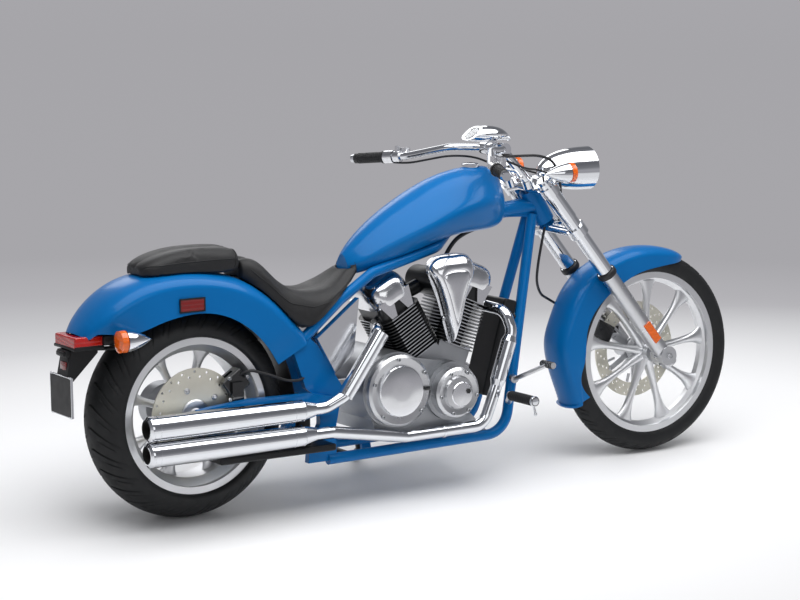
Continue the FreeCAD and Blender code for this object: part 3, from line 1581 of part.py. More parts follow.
def lamp_bullet(inset):
    """Filled bullet of the headlamp, smaller all round by the inset."""
    curve = Part.BSplineCurve()
    points = []
    for along, up in lamp_shares:
        x = lamp_back_x + inset + (lamp_length - inset) * along
        points.append(vec(x, 0, lamp_z + (lamp_radius - inset) * up))
    curve.interpolate(points)
    rim = points[-1]
    mouth = vec(rim.x, 0, lamp_z)
    edges = [curve.toShape(), Part.LineSegment(rim, mouth).toShape(), Part.LineSegment(mouth, points[0]).toShape()]
    return Part.Face(Part.Wire(edges)).revolve(points[0], AXIS_X, 360).Solids[0]


def headlamp_shell():
    """Bullet-shaped hollow shell with an open mouth."""
    mouth = vec(lamp_back_x + lamp_length, 0, lamp_z)
    opening = rod(mouth - AXIS_X * overrun, mouth + AXIS_X * overrun, lamp_radius - header_wall)
    return lamp_bullet(0).cut(lamp_bullet(header_wall)).cut(opening)


def headlamp_lens():
    back = lamp_back_x + lamp_length - overrun + seat_gap
    edge = lamp_radius - header_wall - seat_gap
    return turned([
        (0, 0), (0, edge), (overrun / 2, edge), dome(overrun / 2, edge, lip_width)], vec(back, 0, lamp_z), AXIS_X)


def headlamp_mount():
    """Bracket from the upper yoke to the back of the lamp."""
    start = steer_point(neck_high + clamp_thickness) + vec(clamp_grip * 0.9, 0, 0)
    end = vec(lamp_back_x + lamp_length * 0.16, 0, lamp_z - lamp_radius * 0.40)
    return rod(start, end, riser_radius * 0.9).cut(lamp_bullet(-seat_gap))


def bullet(apex, direction, length, radius):
    """Signal housing: pointed at its apex, open towards the lens."""
    return turned([(0, 0), ((length * 0.34, radius * 0.62), (length * 0.78, radius)), (length * 0.80, 0)], apex, direction)


def signal_lens(apex, direction, length, radius):
    flank = length * 0.17
    return turned([
        (0, 0), (0, radius), (flank, radius * 0.97), dome(flank, radius * 0.97, length * 0.05)],
        apex + direction * (length * 0.80 + seat_gap), direction)


def signals(x, y, z, heading):
    """Left and right signal housings and lenses."""
    direction = AXIS_X * heading
    bodies, lenses = [], []
    for side in (-1, 1):
        apex = vec(x, side * y, z)
        bodies.append(bullet(apex, direction, signal_length, signal_radius))
        lenses.append(signal_lens(apex, direction, signal_length, signal_radius))
    return bodies, lenses


def signal_stalk(side):
    """Short arm from a fork leg to its front signal."""
    root = leg_point(upper_clamp_at + clamp_thickness * 0.75, side)
    tip = vec(front_signal_x + signal_length * 0.42, side * front_signal_y, front_signal_z)
    return rod(root, tip, lever_radius * 1.4)


def caliper(centre, axle, disc_y, reach, width, height):
    """Brake caliper that straddles its disc, with a slot for it."""
    toward = (vec(axle.x, 0, axle.z) - vec(centre.x, 0, centre.z)).normalize()
    angle = degrees(atan2(toward.x, -toward.z))
    body = rounded_block(
        vec(-width / 2, disc_y - reach, -height / 2), vec(width / 2, disc_y + reach, height / 2), lip_width)
    slot_half = disc_thickness / 2 + clear_gap
    slot = block(vec(-width, disc_y - slot_half, -height), vec(width, disc_y + slot_half, height * 0.22))
    body = body.cut(slot)
    body.rotate(vec(0, 0, 0), AXIS_Y, -angle)
    body.translate(vec(centre.x, 0, centre.z))
    return body


def rear_brake():
    """Rear caliper with the lug that rests on the swingarm."""
    centre = vec(rear_disc_radius * 0.90, 0, rear_tyre_radius + rear_disc_radius * 0.60)
    body = caliper(centre, REAR_AXLE, -rear_disc_y, rear_caliper_reach, caliper_width, caliper_height)
    low = vec(centre.x - caliper_width * 0.3, -arm_inner + seat_gap, swing_pivot_z + arm_height * 0.5)
    high = vec(centre.x + caliper_width * 0.3, -rear_disc_y - rear_caliper_reach * 0.9, centre.z + lip_width)
    return fused(body, block(low, high))


def front_brake():
    """Front caliper with the lug that joins it to the left slider."""
    centre = vec(wheelbase - front_disc_radius * 0.84, 0, front_tyre_radius + front_disc_radius * 0.44)
    body = caliper(centre, FRONT_AXLE, front_disc_y, front_caliper_reach, caliper_width, caliper_height)
    leg = leg_point((centre.z - front_tyre_radius) / cos(radians(fork_rake)), 1)
    low = vec(centre.x, front_disc_y + disc_thickness / 2 + clear_gap, centre.z - lip_width * 2)
    high = vec(leg.x, front_disc_y + front_caliper_reach, centre.z + lip_width * 2)
    return fused(body, block(low, high))


def side_cover_room(side):
    """The cover as a filled block."""
    points = [(cover_x + cover_length * a, cover_z + cover_rise * b) for a, b in side_cover_shares]
    y = side * (rail_half + rail_radius + seat_gap)
    low, high = sorted((y, y + side * cover_depth))
    return side_plate(points, low, high)


def side_cover(side):
    """Hollow triangular cover beside the seat."""
    points = [(cover_x + cover_length * a, cover_z + cover_rise * b) for a, b in side_cover_shares]
    y = side * (rail_half + rail_radius + seat_gap)
    outer = side_cover_room(side)
    middle = (sum(x for x, z in points) / len(points), sum(z for x, z in points) / len(points))
    scale = 1 - cover_wall * 4 / cover_length
    small = [(middle[0] + (x - middle[0]) * scale, middle[1] + (z - middle[1]) * scale) for x, z in points]
    low, high = sorted((y - side * overrun, y + side * (cover_depth - cover_wall)))
    return outer.cut(side_plate(small, low, high))


def foot_peg(side):
    """Forward peg on its mount from the downtube."""
    root = downtube_point(peg_mount_z, side)
    start = vec(peg_x, side * peg_inner, peg_z)
    end = vec(peg_x, side * peg_outer, peg_z)
    arm = rod(root, start, riser_radius * 0.7).fuse(rod(start - AXIS_Y * (side * lip_width), start, peg_radius * 0.9))
    rubber = rod(start + AXIS_Y * (side * seat_gap), end, peg_radius)
    return largest(arm.cut(cradle(side)).cut(rubber)), rubber


def pedal(side, rise):
    """Foot lever ahead of the peg: brake on the right, gear shift on the left."""
    root = downtube_point(pedal_pivot_z, side)
    pivot = root + vec(-riser_radius, side * (downtube_radius + riser_radius * 1.4), 0)
    knee = vec(peg_x + pedal_reach * 0.62, side * peg_inner * 0.86, peg_z + rise * 0.62)
    tip = vec(peg_x + pedal_reach, side * peg_inner * 1.10, peg_z + rise)
    arm = bar([pivot, knee, tip], lever_radius * 1.5, pedal_reach * 0.3)
    half_pad = AXIS_Y * (pedal_reach * 0.24)
    pad = rod(tip - half_pad, tip + half_pad, lever_radius * 2.1)
    boss = rod(root, pivot + (pivot - root).normalize() * lever_radius, riser_radius * 0.8)
    return largest(fused(arm, pad, boss).cut(cradle(side)))


def tail_lamp():
    """Lamp under the tip of the rear fender."""
    low = vec(tail_x, -tail_half, tail_z)
    lamp = rounded_block(low, low + vec(tail_length, tail_half * 2, tail_height), lip_width)
    return largest(lamp.cut(fender_room()))


def plate_bracket():
    """Arm below the tail lamp that carries the plate, and the stalks of the rear signals."""
    arm = side_plate([
        (tail_x + lip_width, tail_z - seat_gap), (tail_x + tail_length * 0.95, tail_z - seat_gap),
        (tail_x + tail_length * 0.95, tail_z - lip_width * 3), (plate_x + lip_width * 3, plate_z + plate_size * 0.80),
        (plate_x + plate_gap, plate_z + plate_size * 0.45), (plate_x + plate_gap, plate_z + plate_size)],
        -tail_half * 0.5, tail_half * 0.5)
    root = vec(tail_x + tail_length * 0.86, 0, tail_z - lip_width * 1.6)
    bodies = signals(rear_signal_x, rear_signal_y, rear_signal_z, -1)[0]
    for side, body in zip((-1, 1), bodies):
        tip = vec(rear_signal_x - signal_length * 0.6, side * rear_signal_y, rear_signal_z - signal_radius * 0.6)
        arm = arm.fuse(rod(root, tip, lever_radius * 1.3).cut(body))
    return largest(arm)


def number_plate():
    low = vec(plate_x, -plate_size * 0.62, plate_z)
    return rounded_plate(low, plate_gap - seat_gap, plate_size * 1.24, plate_size)


def rounded_plate(low, x_size, y_size, z_size):
    plate = block(low, low + vec(x_size, y_size, z_size))
    edges = [edge for edge in plate.Edges if edge.BoundBox.XLength > x_size / 2]
    return plate.makeFillet(lip_width, edges)


def side_stand():
    """Leg with a foot plate that lies flat on the road when the machine leans on it."""
    foot, pivot = stand_points()
    normal = road_normal()
    pad = rod(foot, foot + normal * stand_foot_thickness, stand_foot_radius)
    ankle = foot + normal * stand_foot_thickness
    leg = rod(ankle, pivot, stand_radius)
    swing = stand_axis()
    eye = rod(pivot - swing * (stand_boss_height / 2), pivot + swing * (stand_boss_height / 2), stand_boss_radius)
    bore = rod(pivot - swing * stand_boss_height, pivot + swing * stand_boss_height, stand_radius * 0.7 + running_gap)
    return fused(pad, leg, eye).cut(bore)


def road_normal():
    """Upward direction of the road, seen from the upright machine."""
    return vec(0, -sin(radians(lean_angle)), cos(radians(lean_angle)))


def road_height(y):
    """Height of the leaned road under a place beside the upright machine."""
    sink = (rear_crown_radius + front_crown_radius) / 2 * (1 - cos(radians(lean_angle)))
    return (y * sin(radians(lean_angle)) - sink) / cos(radians(lean_angle))


def stand_points():
    foot = vec(stand_foot_x, stand_foot_y, road_height(stand_foot_y))
    return foot, vec(stand_pivot_x, stand_pivot_y, stand_pivot_z)


def stand_axis():
    """The stand turns about the line square to both its parked and its folded direction."""
    foot, pivot = stand_points()
    folded = vec(-1, 0.20, 0.02)
    return folded.cross(foot - pivot).normalize()


def stand_bracket():
    """Fork-shaped lug on the left cradle tube, with the stand's pivot pin."""
    foot, pivot = stand_points()
    up = stand_axis()
    if up.z < 0:
        up = up * -1
    inward = (up * up.y - AXIS_Y).normalize()
    sideways = up.cross(inward)
    half_height = stand_boss_height / 2 + running_gap
    outer = turned_block(
        pivot, inward, sideways, up,
        (-stand_boss_radius * 0.8, stand_boss_radius + lip_width * 2.4), stand_boss_radius * 0.9, half_height + lip_width)
    slot = turned_block(
        pivot, inward, sideways, up,
        (-stand_boss_radius * 2, stand_boss_radius + clear_gap / 3), stand_boss_radius * 2, half_height)
    pin = rod(pivot - up * (half_height + lip_width), pivot + up * (half_height + lip_width), stand_radius * 0.7)
    return fused(outer.cut(slot), pin)


def turned_block(centre, along, across, up, span, half_across, half_up):
    """Box in a turned frame: its span along the first direction, and half sizes along the others."""
    corner = centre + along * span[0] - across * half_across - up * half_up
    ring = [corner, corner + across * (half_across * 2), corner + across * (half_across * 2) + up * (half_up * 2),
            corner + up * (half_up * 2), corner]
    face = Part.Face(Part.makePolygon(ring))
    return face.extrude(along * (span[1] - span[0]))


def parked(parts):
    """Lean the upright machine onto its stand and put the origin under its middle."""
    sinks = [crown * (1 - cos(radians(lean_angle))) for crown in (rear_crown_radius, front_crown_radius)]
    pitch = degrees(atan2(sinks[1] - sinks[0], wheelbase))
    lean = FreeCAD.Placement(vec(0, 0, 0), FreeCAD.Rotation(AXIS_X, -lean_angle))
    level = FreeCAD.Placement(vec(0, 0, 0), FreeCAD.Rotation(AXIS_Y, pitch))
    turn = level.multiply(lean)
    placed = {}
    for name, shape in parts.items():
        moved = shape.copy()
        moved.Placement = turn.multiply(moved.Placement)
        placed[name] = moved
    box = FreeCAD.BoundBox()
    for shape in placed.values():
        box.add(shape.optimalBoundingBox(False, False))
    shift = vec(-box.Center.x, -box.Center.y, -box.ZMin)
    stance = FreeCAD.Placement(shift, FreeCAD.Rotation())
    for name, shape in placed.items():
        shape.Placement = stance.multiply(shape.Placement)
    print("stance shift", round(shift.x, 3), round(shift.y, 3), round(shift.z, 3), "pitch", round(pitch, 5))
    print("size", round(box.XLength, 1), round(box.YLength, 1), round(box.ZLength, 1))
    return placed


def fender_room():
    """The rear fender as a filled shape, with a seat's gap around it."""
    return arch_solid(REAR_AXLE, rear_fender_shares, rear_fender_radius, rear_fender_half, 0.42, -seat_gap, overrun)


def seats():
    """Soft seat and passenger pad, shaped by the fender, rails and tank under them."""
    fender = fender_room()
    tank_room = loft([tank_wire(*station, grow=seat_gap) for station in tank_shares])
    pad = largest(pillion_pad().cut(fender))
    seat = rider_seat().cut(fender).cut(tank_room)
    for side in (-1, 1):
        seat = seat.cut(rail_room(side)).cut(side_cover_room(side))
    return {"rider_seat": largest(seat), "passenger_pad": pad}


def engine():
    case = crankcase()
    covers = [
        dished_cover(clutch_x, clutch_z, clutch_cover_radius, clutch_cover_depth),
        dished_cover(crank_x, crank_z, crank_cover_radius, crank_cover_depth)]
    barrels, head_covers = [], []
    for side in (-1, 1):
        barrels.append(barrel(side).fuse(cylinder_head(side)))
        head_covers.append(head_cover(side).cut(barrels[-1]))
    return {
        "crankcase": case,
        "cylinders": group(*[largest(body) for body in barrels]),
        "head_covers": group(*[largest(cover) for cover in head_covers]),
        "right_engine_covers": group(*covers),
        "left_engine_covers": left_side_covers(),
        "air_cover": air_cover(),
        "air_duct": largest(air_mount().cut(group(*barrels)).cut(group(*head_covers))),
        "radiator": radiator(),
    }


def foot_controls():
    """Pegs, their mounts, the brake pedal on the right and the shift pedal on the left."""
    pegs = [foot_peg(side) for side in (-1, 1)]
    return {
        "peg_mounts": group(*[arm for arm, rubber in pegs]),
        "foot_pegs": group(*[rubber for arm, rubber in pegs]),
        "foot_levers": group(pedal(-1, brake_rise), pedal(1, shift_rise)),
    }


def tail():
    bodies, lenses = signals(rear_signal_x, rear_signal_y, rear_signal_z, -1)
    return {
        "tail_lamp": tail_lamp(),
        "plate_bracket": plate_bracket(),
        "number_plate": number_plate(),
        "rear_signal_bodies": group(*bodies),
        "rear_signal_lenses": group(*lenses),
    }


def steering():
    """Everything that turns with the handlebar, apart from the front wheel."""
    tube = handlebar()
    controls = group(switchgear(), lever_sets().cut(tube))
    yoke = fused(upper_yoke(), headlamp_mount())
    legs = fork_tubes()
    bodies, lenses = signals(front_signal_x, front_signal_y, front_signal_z, 1)
    bodies = [body.fuse(signal_stalk(side)).cut(yoke).cut(legs) for body, side in zip(bodies, (-1, 1))]
    bodies = [largest(body) for body in bodies]
    return {
        "fork_sliders": sliders(),
        "fork_tubes": legs,
        "lower_yoke": lower_yoke(),
        "upper_yoke": yoke,
        "front_axle": front_axle(),
        "front_fender": front_fender(),
        "handlebar": fused(tube, *bar_ends().Solids),
        "grips": grips(),
        "bar_controls": controls,
        "risers": group(risers().fuse(meter_stay()).cut(tube).cut(meter()).cut(yoke)),
        "meter": meter(),
        "headlamp_shell": headlamp_shell(),
        "headlamp_lens": headlamp_lens(),
        "front_signal_bodies": group(*bodies),
        "front_amber_lenses": group(*lenses, both_sides(fork_reflector())),
        "front_caliper": largest(front_brake().cut(leg_room(1))),
        "fork_hoses": fork_hoses(controls, lamp_bullet(0)),
    }


def machine():
    """Every piece by name, upright."""
    parts = {}
    parts.update(rear_wheel())
    parts.update(front_wheel())
    parts.update(frame())
    arm, shaft = swingarm()
    parts["swingarm_right"] = arm
    parts["shaft_drive"] = shaft
    parts["swing_shafts"] = group(swing_pivot(), rear_axle())
    fender = rear_fender()
    for solid in parts["frame_plates"].Solids + parts["frame_rails"].Solids:
        fender = fender.cut(solid)
    for solid in parts["rear_subframe"].Solids:
        fender = fender.cut(solid)
    parts["rear_fender"] = largest(fender)
    parts["fender_reflectors"] = both_sides(fender_reflector())
    parts["rear_caliper"] = rear_brake()
    parts["fuel_tank"] = fuel_tank()
    parts["filler_cap"] = filler_cap()
    parts.update(seats())
    parts.update(engine())
    parts["mufflers"] = group(muffler(upper_muffler_z), muffler(lower_muffler_z))
    barrels = parts["cylinders"]
    hose = bar(breather_route, breather_radius, wheelbase).cut(parts["fuel_tank"]).cut(parts["air_duct"])
    brake = bar(rear_hose_route, hose_radius, wheelbase).cut(parts["rear_caliper"]).cut(parts["frame_plates"])
    parts["frame_hoses"] = group(largest(hose.cut(parts["head_covers"])), largest(brake))
    parts["exhaust_headers"] = group(largest(front_header().cut(barrels)), largest(rear_header().cut(barrels)))
    parts["muffler_bracket"] = muffler_bracket()
    plates = parts["frame_plates"]
    parts["side_covers"] = group(*[largest(side_cover(side).cut(plates)) for side in (-1, 1)])
    parts.update(foot_controls())
    parts.update(tail())
    parts["side_stand"] = side_stand()
    parts.update(steering())
    return parts


os.makedirs("parts", exist_ok=True)
for name, shape in parked(machine()).items():
    shape.exportStep("parts/" + name + ".step")
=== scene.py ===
# %% [markdown]
# # A long chopper motorcycle, dressed for its picture
# The solid model of the machine is loaded first and never moved. It gives the frame, wheels, engine and
# bodywork at their true size. Everything made below is either a finish for those solids or a piece too fine
# or too soft for them: tyre tread, drilled discs, bolts, padding, stitching. Working over a fixed model means
# that nothing has to be fitted by eye.

# %% Load the solid model
import math
import bmesh
import bpy
from mathutils import Matrix, Vector
from mathutils.bvhtree import BVHTree


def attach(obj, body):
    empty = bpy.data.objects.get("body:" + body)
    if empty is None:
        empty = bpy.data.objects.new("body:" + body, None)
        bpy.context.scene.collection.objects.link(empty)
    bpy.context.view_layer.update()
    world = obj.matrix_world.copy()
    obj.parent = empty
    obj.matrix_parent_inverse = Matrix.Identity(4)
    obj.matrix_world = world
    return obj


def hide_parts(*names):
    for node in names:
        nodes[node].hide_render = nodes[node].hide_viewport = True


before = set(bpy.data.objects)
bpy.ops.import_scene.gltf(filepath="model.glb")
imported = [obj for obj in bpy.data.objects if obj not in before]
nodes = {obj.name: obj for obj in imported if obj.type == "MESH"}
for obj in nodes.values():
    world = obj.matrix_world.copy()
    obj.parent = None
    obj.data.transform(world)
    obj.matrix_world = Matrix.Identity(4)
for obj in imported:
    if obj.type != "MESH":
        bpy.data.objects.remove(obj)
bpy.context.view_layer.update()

# %% [markdown]
# ## The drawing frame
# The machine was drawn upright in millimetres: x forward from the rear axle, y to the rider's left, z up. It
# is shown leaning on its side stand. One matrix carries a point from the drawing to its parked place, so
# each new piece can be made upright, where its numbers are easy to read, and parked at the end.

# %% Upright to parked
LEAN = math.radians(-9.0)
NOSE = math.radians(-0.0219)
PARKED = (
    Matrix.Translation((-0.869691, -0.152995, 0.002283))
    @ Matrix.Rotation(NOSE, 4, "Y") @ Matrix.Rotation(LEAN, 4, "X"))
DRAWN = PARKED @ Matrix.Scale(0.001, 4)

WHEELBASE, REAR_RADIUS, FRONT_RADIUS = 1804.0, 328.6, 347.7
REAR_AXLE = Vector((0, 0, REAR_RADIUS))
FRONT_AXLE = Vector((WHEELBASE, 0, FRONT_RADIUS))
FORWARD = Vector((1, 0, 0))
ACROSS = Vector((0, 1, 0))
SIDES = ((-1, "right"), (1, "left"))
print("front axle parks at", [round(v, 3) for v in DRAWN @ FRONT_AXLE])

# %% [markdown]
# ## Camera
# The picture was taken with a long lens from the right rear quarter, a little above the seat. The place,
# direction and focal length were found by matching known corners of the machine, in the drawing frame. The
# camera is parked with the same matrix, since the picture shows the machine already leaning.

# %% Camera
def shown(name, data):
    """New object in the scene."""
    made = bpy.data.objects.new(name, data)
    bpy.context.collection.objects.link(made)
    return made


yaw, dip, roll = 0.563, 0.139, -0.0106
camera_place = Vector((-3.2872, -6.4680, 1.6816))
focal_pixels, picture_width, film_width = 2371.46, 800, 36

sight = Vector((math.sin(yaw) * math.cos(dip), math.cos(yaw) * math.cos(dip), -math.sin(dip)))
right = sight.cross(Vector((0, 0, 1))).normalized()
above = right.cross(sight)
turned_right = right * math.cos(roll) + above * math.sin(roll)
turned_up = above * math.cos(roll) - right * math.sin(roll)
aim = Matrix((turned_right, turned_up, -sight)).transposed().to_4x4()

lens = bpy.data.cameras.new("camera")
lens.lens = focal_pixels / picture_width * film_width
lens.sensor_width = film_width
lens.clip_end = 400
camera = shown("camera", lens)
camera.matrix_world = PARKED @ Matrix.Translation(camera_place) @ aim
bpy.context.scene.camera = camera
print("lens", round(lens.lens, 1), "mm")

# %% [markdown]
# ## Colours and materials
# A finish is more than a colour. Paint has a clear coat, cast metal is a little grainy, rubber is dull in
# some places and worn smooth in others. Colours are written as they look on a screen, and one function turns
# them into the light values that the renderer wants. Two more feed a node's inputs and add a node with its
# settings, and every material is built from these.

# %% Colour and node helpers
def light(hex_colour):
    """Screen colour such as #1f6fb8 as linear light."""
    parts = [int(hex_colour[i:i + 2], 16) / 255 for i in (1, 3, 5)]
    return [c / 12.92 if c <= 0.04045 else ((c + 0.055) / 1.055) ** 2.4 for c in parts] + [1.0]


def feed(tree, node, inputs):
    """Give each input its plain value, or link it where the value is a socket."""
    for name, value in inputs.items():
        if isinstance(value, bpy.types.NodeSocket):
            tree.links.new(value, node.inputs[name])
        else:
            node.inputs[name].default_value = value


def add(tree, kind, inputs=None, **settings):
    """Add a node with its settings, and feed its inputs."""
    made = tree.nodes.new(kind)
    for name, value in settings.items():
        setattr(made, name, value)
    feed(tree, made, inputs or {})
    return made


def blank(name):
    """New material with its tree, its surface shader and the piece's own coordinates."""
    material = bpy.data.materials.new(name)
    material.use_nodes = True
    tree = material.node_tree
    shader = tree.nodes["Principled BSDF"]
    place = add(tree, "ShaderNodeTexCoord").outputs["Object"]
    return material, tree, shader, place


# %% [markdown]
# Most finishes share a pattern: two close shades mixed by a cloudy noise, roughness that wanders with a
# second noise, and a fine bump. `finish` makes these from real sizes in millimetres. The specials, such as
# leather or cooling fins, are built after it by hand.

# %% A finish from real sizes
def finish(name, shade, second, metal=0.0, rough=0.3, wander=0.05, cloud=60.0, grain=1.0, bump=0.02,
           coat=0.0, coat_rough=0.03, ior=1.5):
    """Two shades in clouds, with wandering roughness and a fine grain. Sizes are in millimetres."""
    material, tree, shader, place = blank(name)
    clouds = add(tree, "ShaderNodeTexNoise", {"Vector": place, "Scale": 1000 / cloud, "Detail": 4.0})
    tint = add(tree, "ShaderNodeMix", {
        0: clouds.outputs["Fac"], 6: light(shade), 7: light(second)}, data_type="RGBA")
    spread = add(tree, "ShaderNodeMapRange", {
        "Value": clouds.outputs["Fac"], "From Min": 0.3, "From Max": 0.7,
        "To Min": max(rough - wander, 0.01), "To Max": rough + wander})
    fine = add(tree, "ShaderNodeTexNoise", {"Vector": place, "Scale": 1000 / grain, "Detail": 2.0})
    relief = add(tree, "ShaderNodeBump", {
        "Height": fine.outputs["Fac"], "Strength": bump, "Distance": 0.0005})
    feed(tree, shader, {
        "Base Color": tint.outputs[2], "Roughness": spread.outputs[0], "Normal": relief.outputs[0],
        "Metallic": metal})
    if not metal:
        feed(tree, shader, {"IOR": ior})
    if coat:
        feed(tree, shader, {"Coat Weight": coat, "Coat Roughness": coat_rough})
    return material


# %% [markdown]
# ### Hard finishes
# The blue is a solid two-pack enamel under a thin, slightly soft lacquer. Its gloss is tinted, so that the
# grey room doesn't wash it out. Chrome is plated steel, so it has nearly no colour or roughness of its own.
# The engine covers are die-cast aluminium, satin all over, with a buffed cap in the middle.
# Frame brackets and the radiator wear black powder coat, which is a little rough.

# %% Paint and metals
blue_paint = finish("blue_enamel", "#0361a2", "#0565a8", rough=0.34, wander=0.03, cloud=220, grain=1.6,
                    bump=0.004, coat=0.22, coat_rough=0.12, ior=1.33)
blue_paint.node_tree.nodes["Principled BSDF"].inputs["Specular Tint"].default_value = light("#6fb4ee")
chrome = finish("chrome_plate", "#e2e4e7", "#d9dbdf", metal=1.0, rough=0.055, wander=0.02, cloud=90,
                grain=2, bump=0.003)
brushed_alloy = finish("satin_cast_aluminium", "#cdced0", "#c5c6c9", metal=1.0, rough=0.30, wander=0.04,
                       grain=0.8)
buffed_alloy = finish("buffed_aluminium", "#e4e5e7", "#dcdde0", metal=1.0, rough=0.16, wander=0.03, cloud=30)
wheel_alloy = finish("machined_wheel_aluminium", "#e0e1e3", "#d9dadc", metal=1.0, rough=0.36, wander=0.03,
                     grain=0.8, bump=0.01)
raw_cast = finish("sand_cast_aluminium", "#a9abae", "#9fa1a5", metal=1.0, rough=0.40, cloud=50, grain=1.4,
                  bump=0.08)
black_coat = finish("black_powder_coat", "#101113", "#161719", rough=0.38, wander=0.07, cloud=70, grain=0.9,
                    bump=0.12, ior=1.36)
black_gloss = finish("black_stove_enamel", "#0c0d0f", "#121315", rough=0.16, cloud=90, grain=2, bump=0.01,
                     coat=0.6)
disc_steel = finish("ground_stainless_steel", "#e2dfd2", "#dbd8ca", metal=1.0, rough=0.40, wander=0.03,
                    grain=0.6, bump=0.01)
zinc_steel = finish("zinc_plated_steel", "#b9bbbd", "#a9abae", metal=1.0, rough=0.24, wander=0.06, cloud=9,
                    grain=0.6, bump=0.04)
print("metals and paints ready")

# %% [markdown]
# ### Rubber, plastic and lenses
# Tyre rubber is a deep matt grey with a faint bloom. Moulded grips and hoses are a touch glossier. Lenses
# are acrylic with moulded prisms. The dyed ones pass a part of the light, and the clear one nearly all.

# %% Rubbers, plastics and lenses
tyre_rubber = finish("tyre_rubber", "#141516", "#1b1c1e", rough=0.60, wander=0.10, cloud=26, grain=0.7,
                     bump=0.20, ior=1.38)
moulded_rubber = finish("moulded_rubber", "#141416", "#1c1c1f", rough=0.50, wander=0.08, cloud=18,
                        grain=0.8, bump=0.15)
black_plastic = finish("grained_black_plastic", "#111214", "#17181a", rough=0.42, wander=0.06, cloud=30,
                       grain=0.7, bump=0.18, ior=1.34)


def acrylic(name, shade, second, clearness, rough):
    """Acrylic of a lens, with fine moulded prisms."""
    material, tree, shader, place = blank(name)
    clouds = add(tree, "ShaderNodeTexNoise", {"Vector": place, "Scale": 1000 / 12, "Detail": 3.0})
    tint = add(tree, "ShaderNodeMix", {
        0: clouds.outputs["Fac"], 6: light(shade), 7: light(second)}, data_type="RGBA")
    prisms = add(tree, "ShaderNodeTexWave", {
        "Vector": place, "Scale": 1000 / 40, "Distortion": 0.2}, bands_direction="Z")
    relief = add(tree, "ShaderNodeBump", {
        "Height": prisms.outputs["Fac"], "Strength": 0.35, "Distance": 0.001})
    feed(tree, shader, {
        "Base Color": tint.outputs[2], "Normal": relief.outputs[0], "Transmission Weight": clearness,
        "Roughness": rough, "IOR": 1.49, "Coat Weight": 0.5})
    return material


amber_lens = acrylic("amber_acrylic", "#ff7a10", "#f96a06", 0.30, 0.10)
red_lens = acrylic("red_acrylic", "#d01812", "#b8100c", 0.25, 0.10)
clear_lens = acrylic("clear_polycarbonate", "#f4f7fa", "#eef2f6", 0.92, 0.02)
dark_lens = acrylic("dark_red_reflector", "#8c120f", "#6f0c0b", 0.15, 0.12)
print("rubbers and lenses ready")

# %% [markdown]
# ### Leather
# The seat cover is black upholstery leather. Its grain is a network of small cells about 1.6 mm across,
# drawn at 2.2 mm so that it still shows at this distance. Years of use would polish it in soft patches, and
# a slow noise does that to its gloss.

# %% Leather
def hide(name, shade, second, cell):
    """Leather with a grain of raised cells of one size, in millimetres."""
    material, tree, shader, place = blank(name)
    cells = add(tree, "ShaderNodeTexVoronoi", {
        "Vector": place, "Scale": 1000 / cell, "Randomness": 1.0}, feature="DISTANCE_TO_EDGE")
    crown = add(tree, "ShaderNodeMapRange", {"Value": cells.outputs["Distance"], "From Max": 0.22})
    wear = add(tree, "ShaderNodeTexNoise", {"Vector": place, "Scale": 1000 / 90, "Detail": 4.0})
    tint = add(tree, "ShaderNodeMix", {
        0: wear.outputs["Fac"], 6: light(shade), 7: light(second)}, data_type="RGBA")
    gloss = add(tree, "ShaderNodeMapRange", {
        "Value": wear.outputs["Fac"], "From Min": 0.3, "From Max": 0.7, "To Min": 0.40, "To Max": 0.52})
    relief = add(tree, "ShaderNodeBump", {
        "Height": crown.outputs[0], "Strength": 0.35, "Distance": 0.0006})
    feed(tree, shader, {
        "Base Color": tint.outputs[2], "Roughness": gloss.outputs[0], "Normal": relief.outputs[0],
        "Sheen Weight": 0.04, "IOR": 1.42})
    return material


seat_leather = hide("black_upholstery_leather", "#0f0f11", "#161618", 2.2)

# %% [markdown]
# ### Cooling fins
# Each barrel is black enamel, and the edge of every fin is machined bright. The edge can't be a separate
# piece: it is the outermost millimetre of the same casting. So the material works out how far a point lies
# from its barrel's axis and turns bright at the rim. A Mapping node gives the distance in the barrel's own
# directions.

# %% Fins with bright edges
from_crank = Matrix.Translation((-0.898, 0, -0.322)) @ PARKED.inverted()
half_wide, half_deep, bright_rim = 0.0955, 0.0775, 0.001


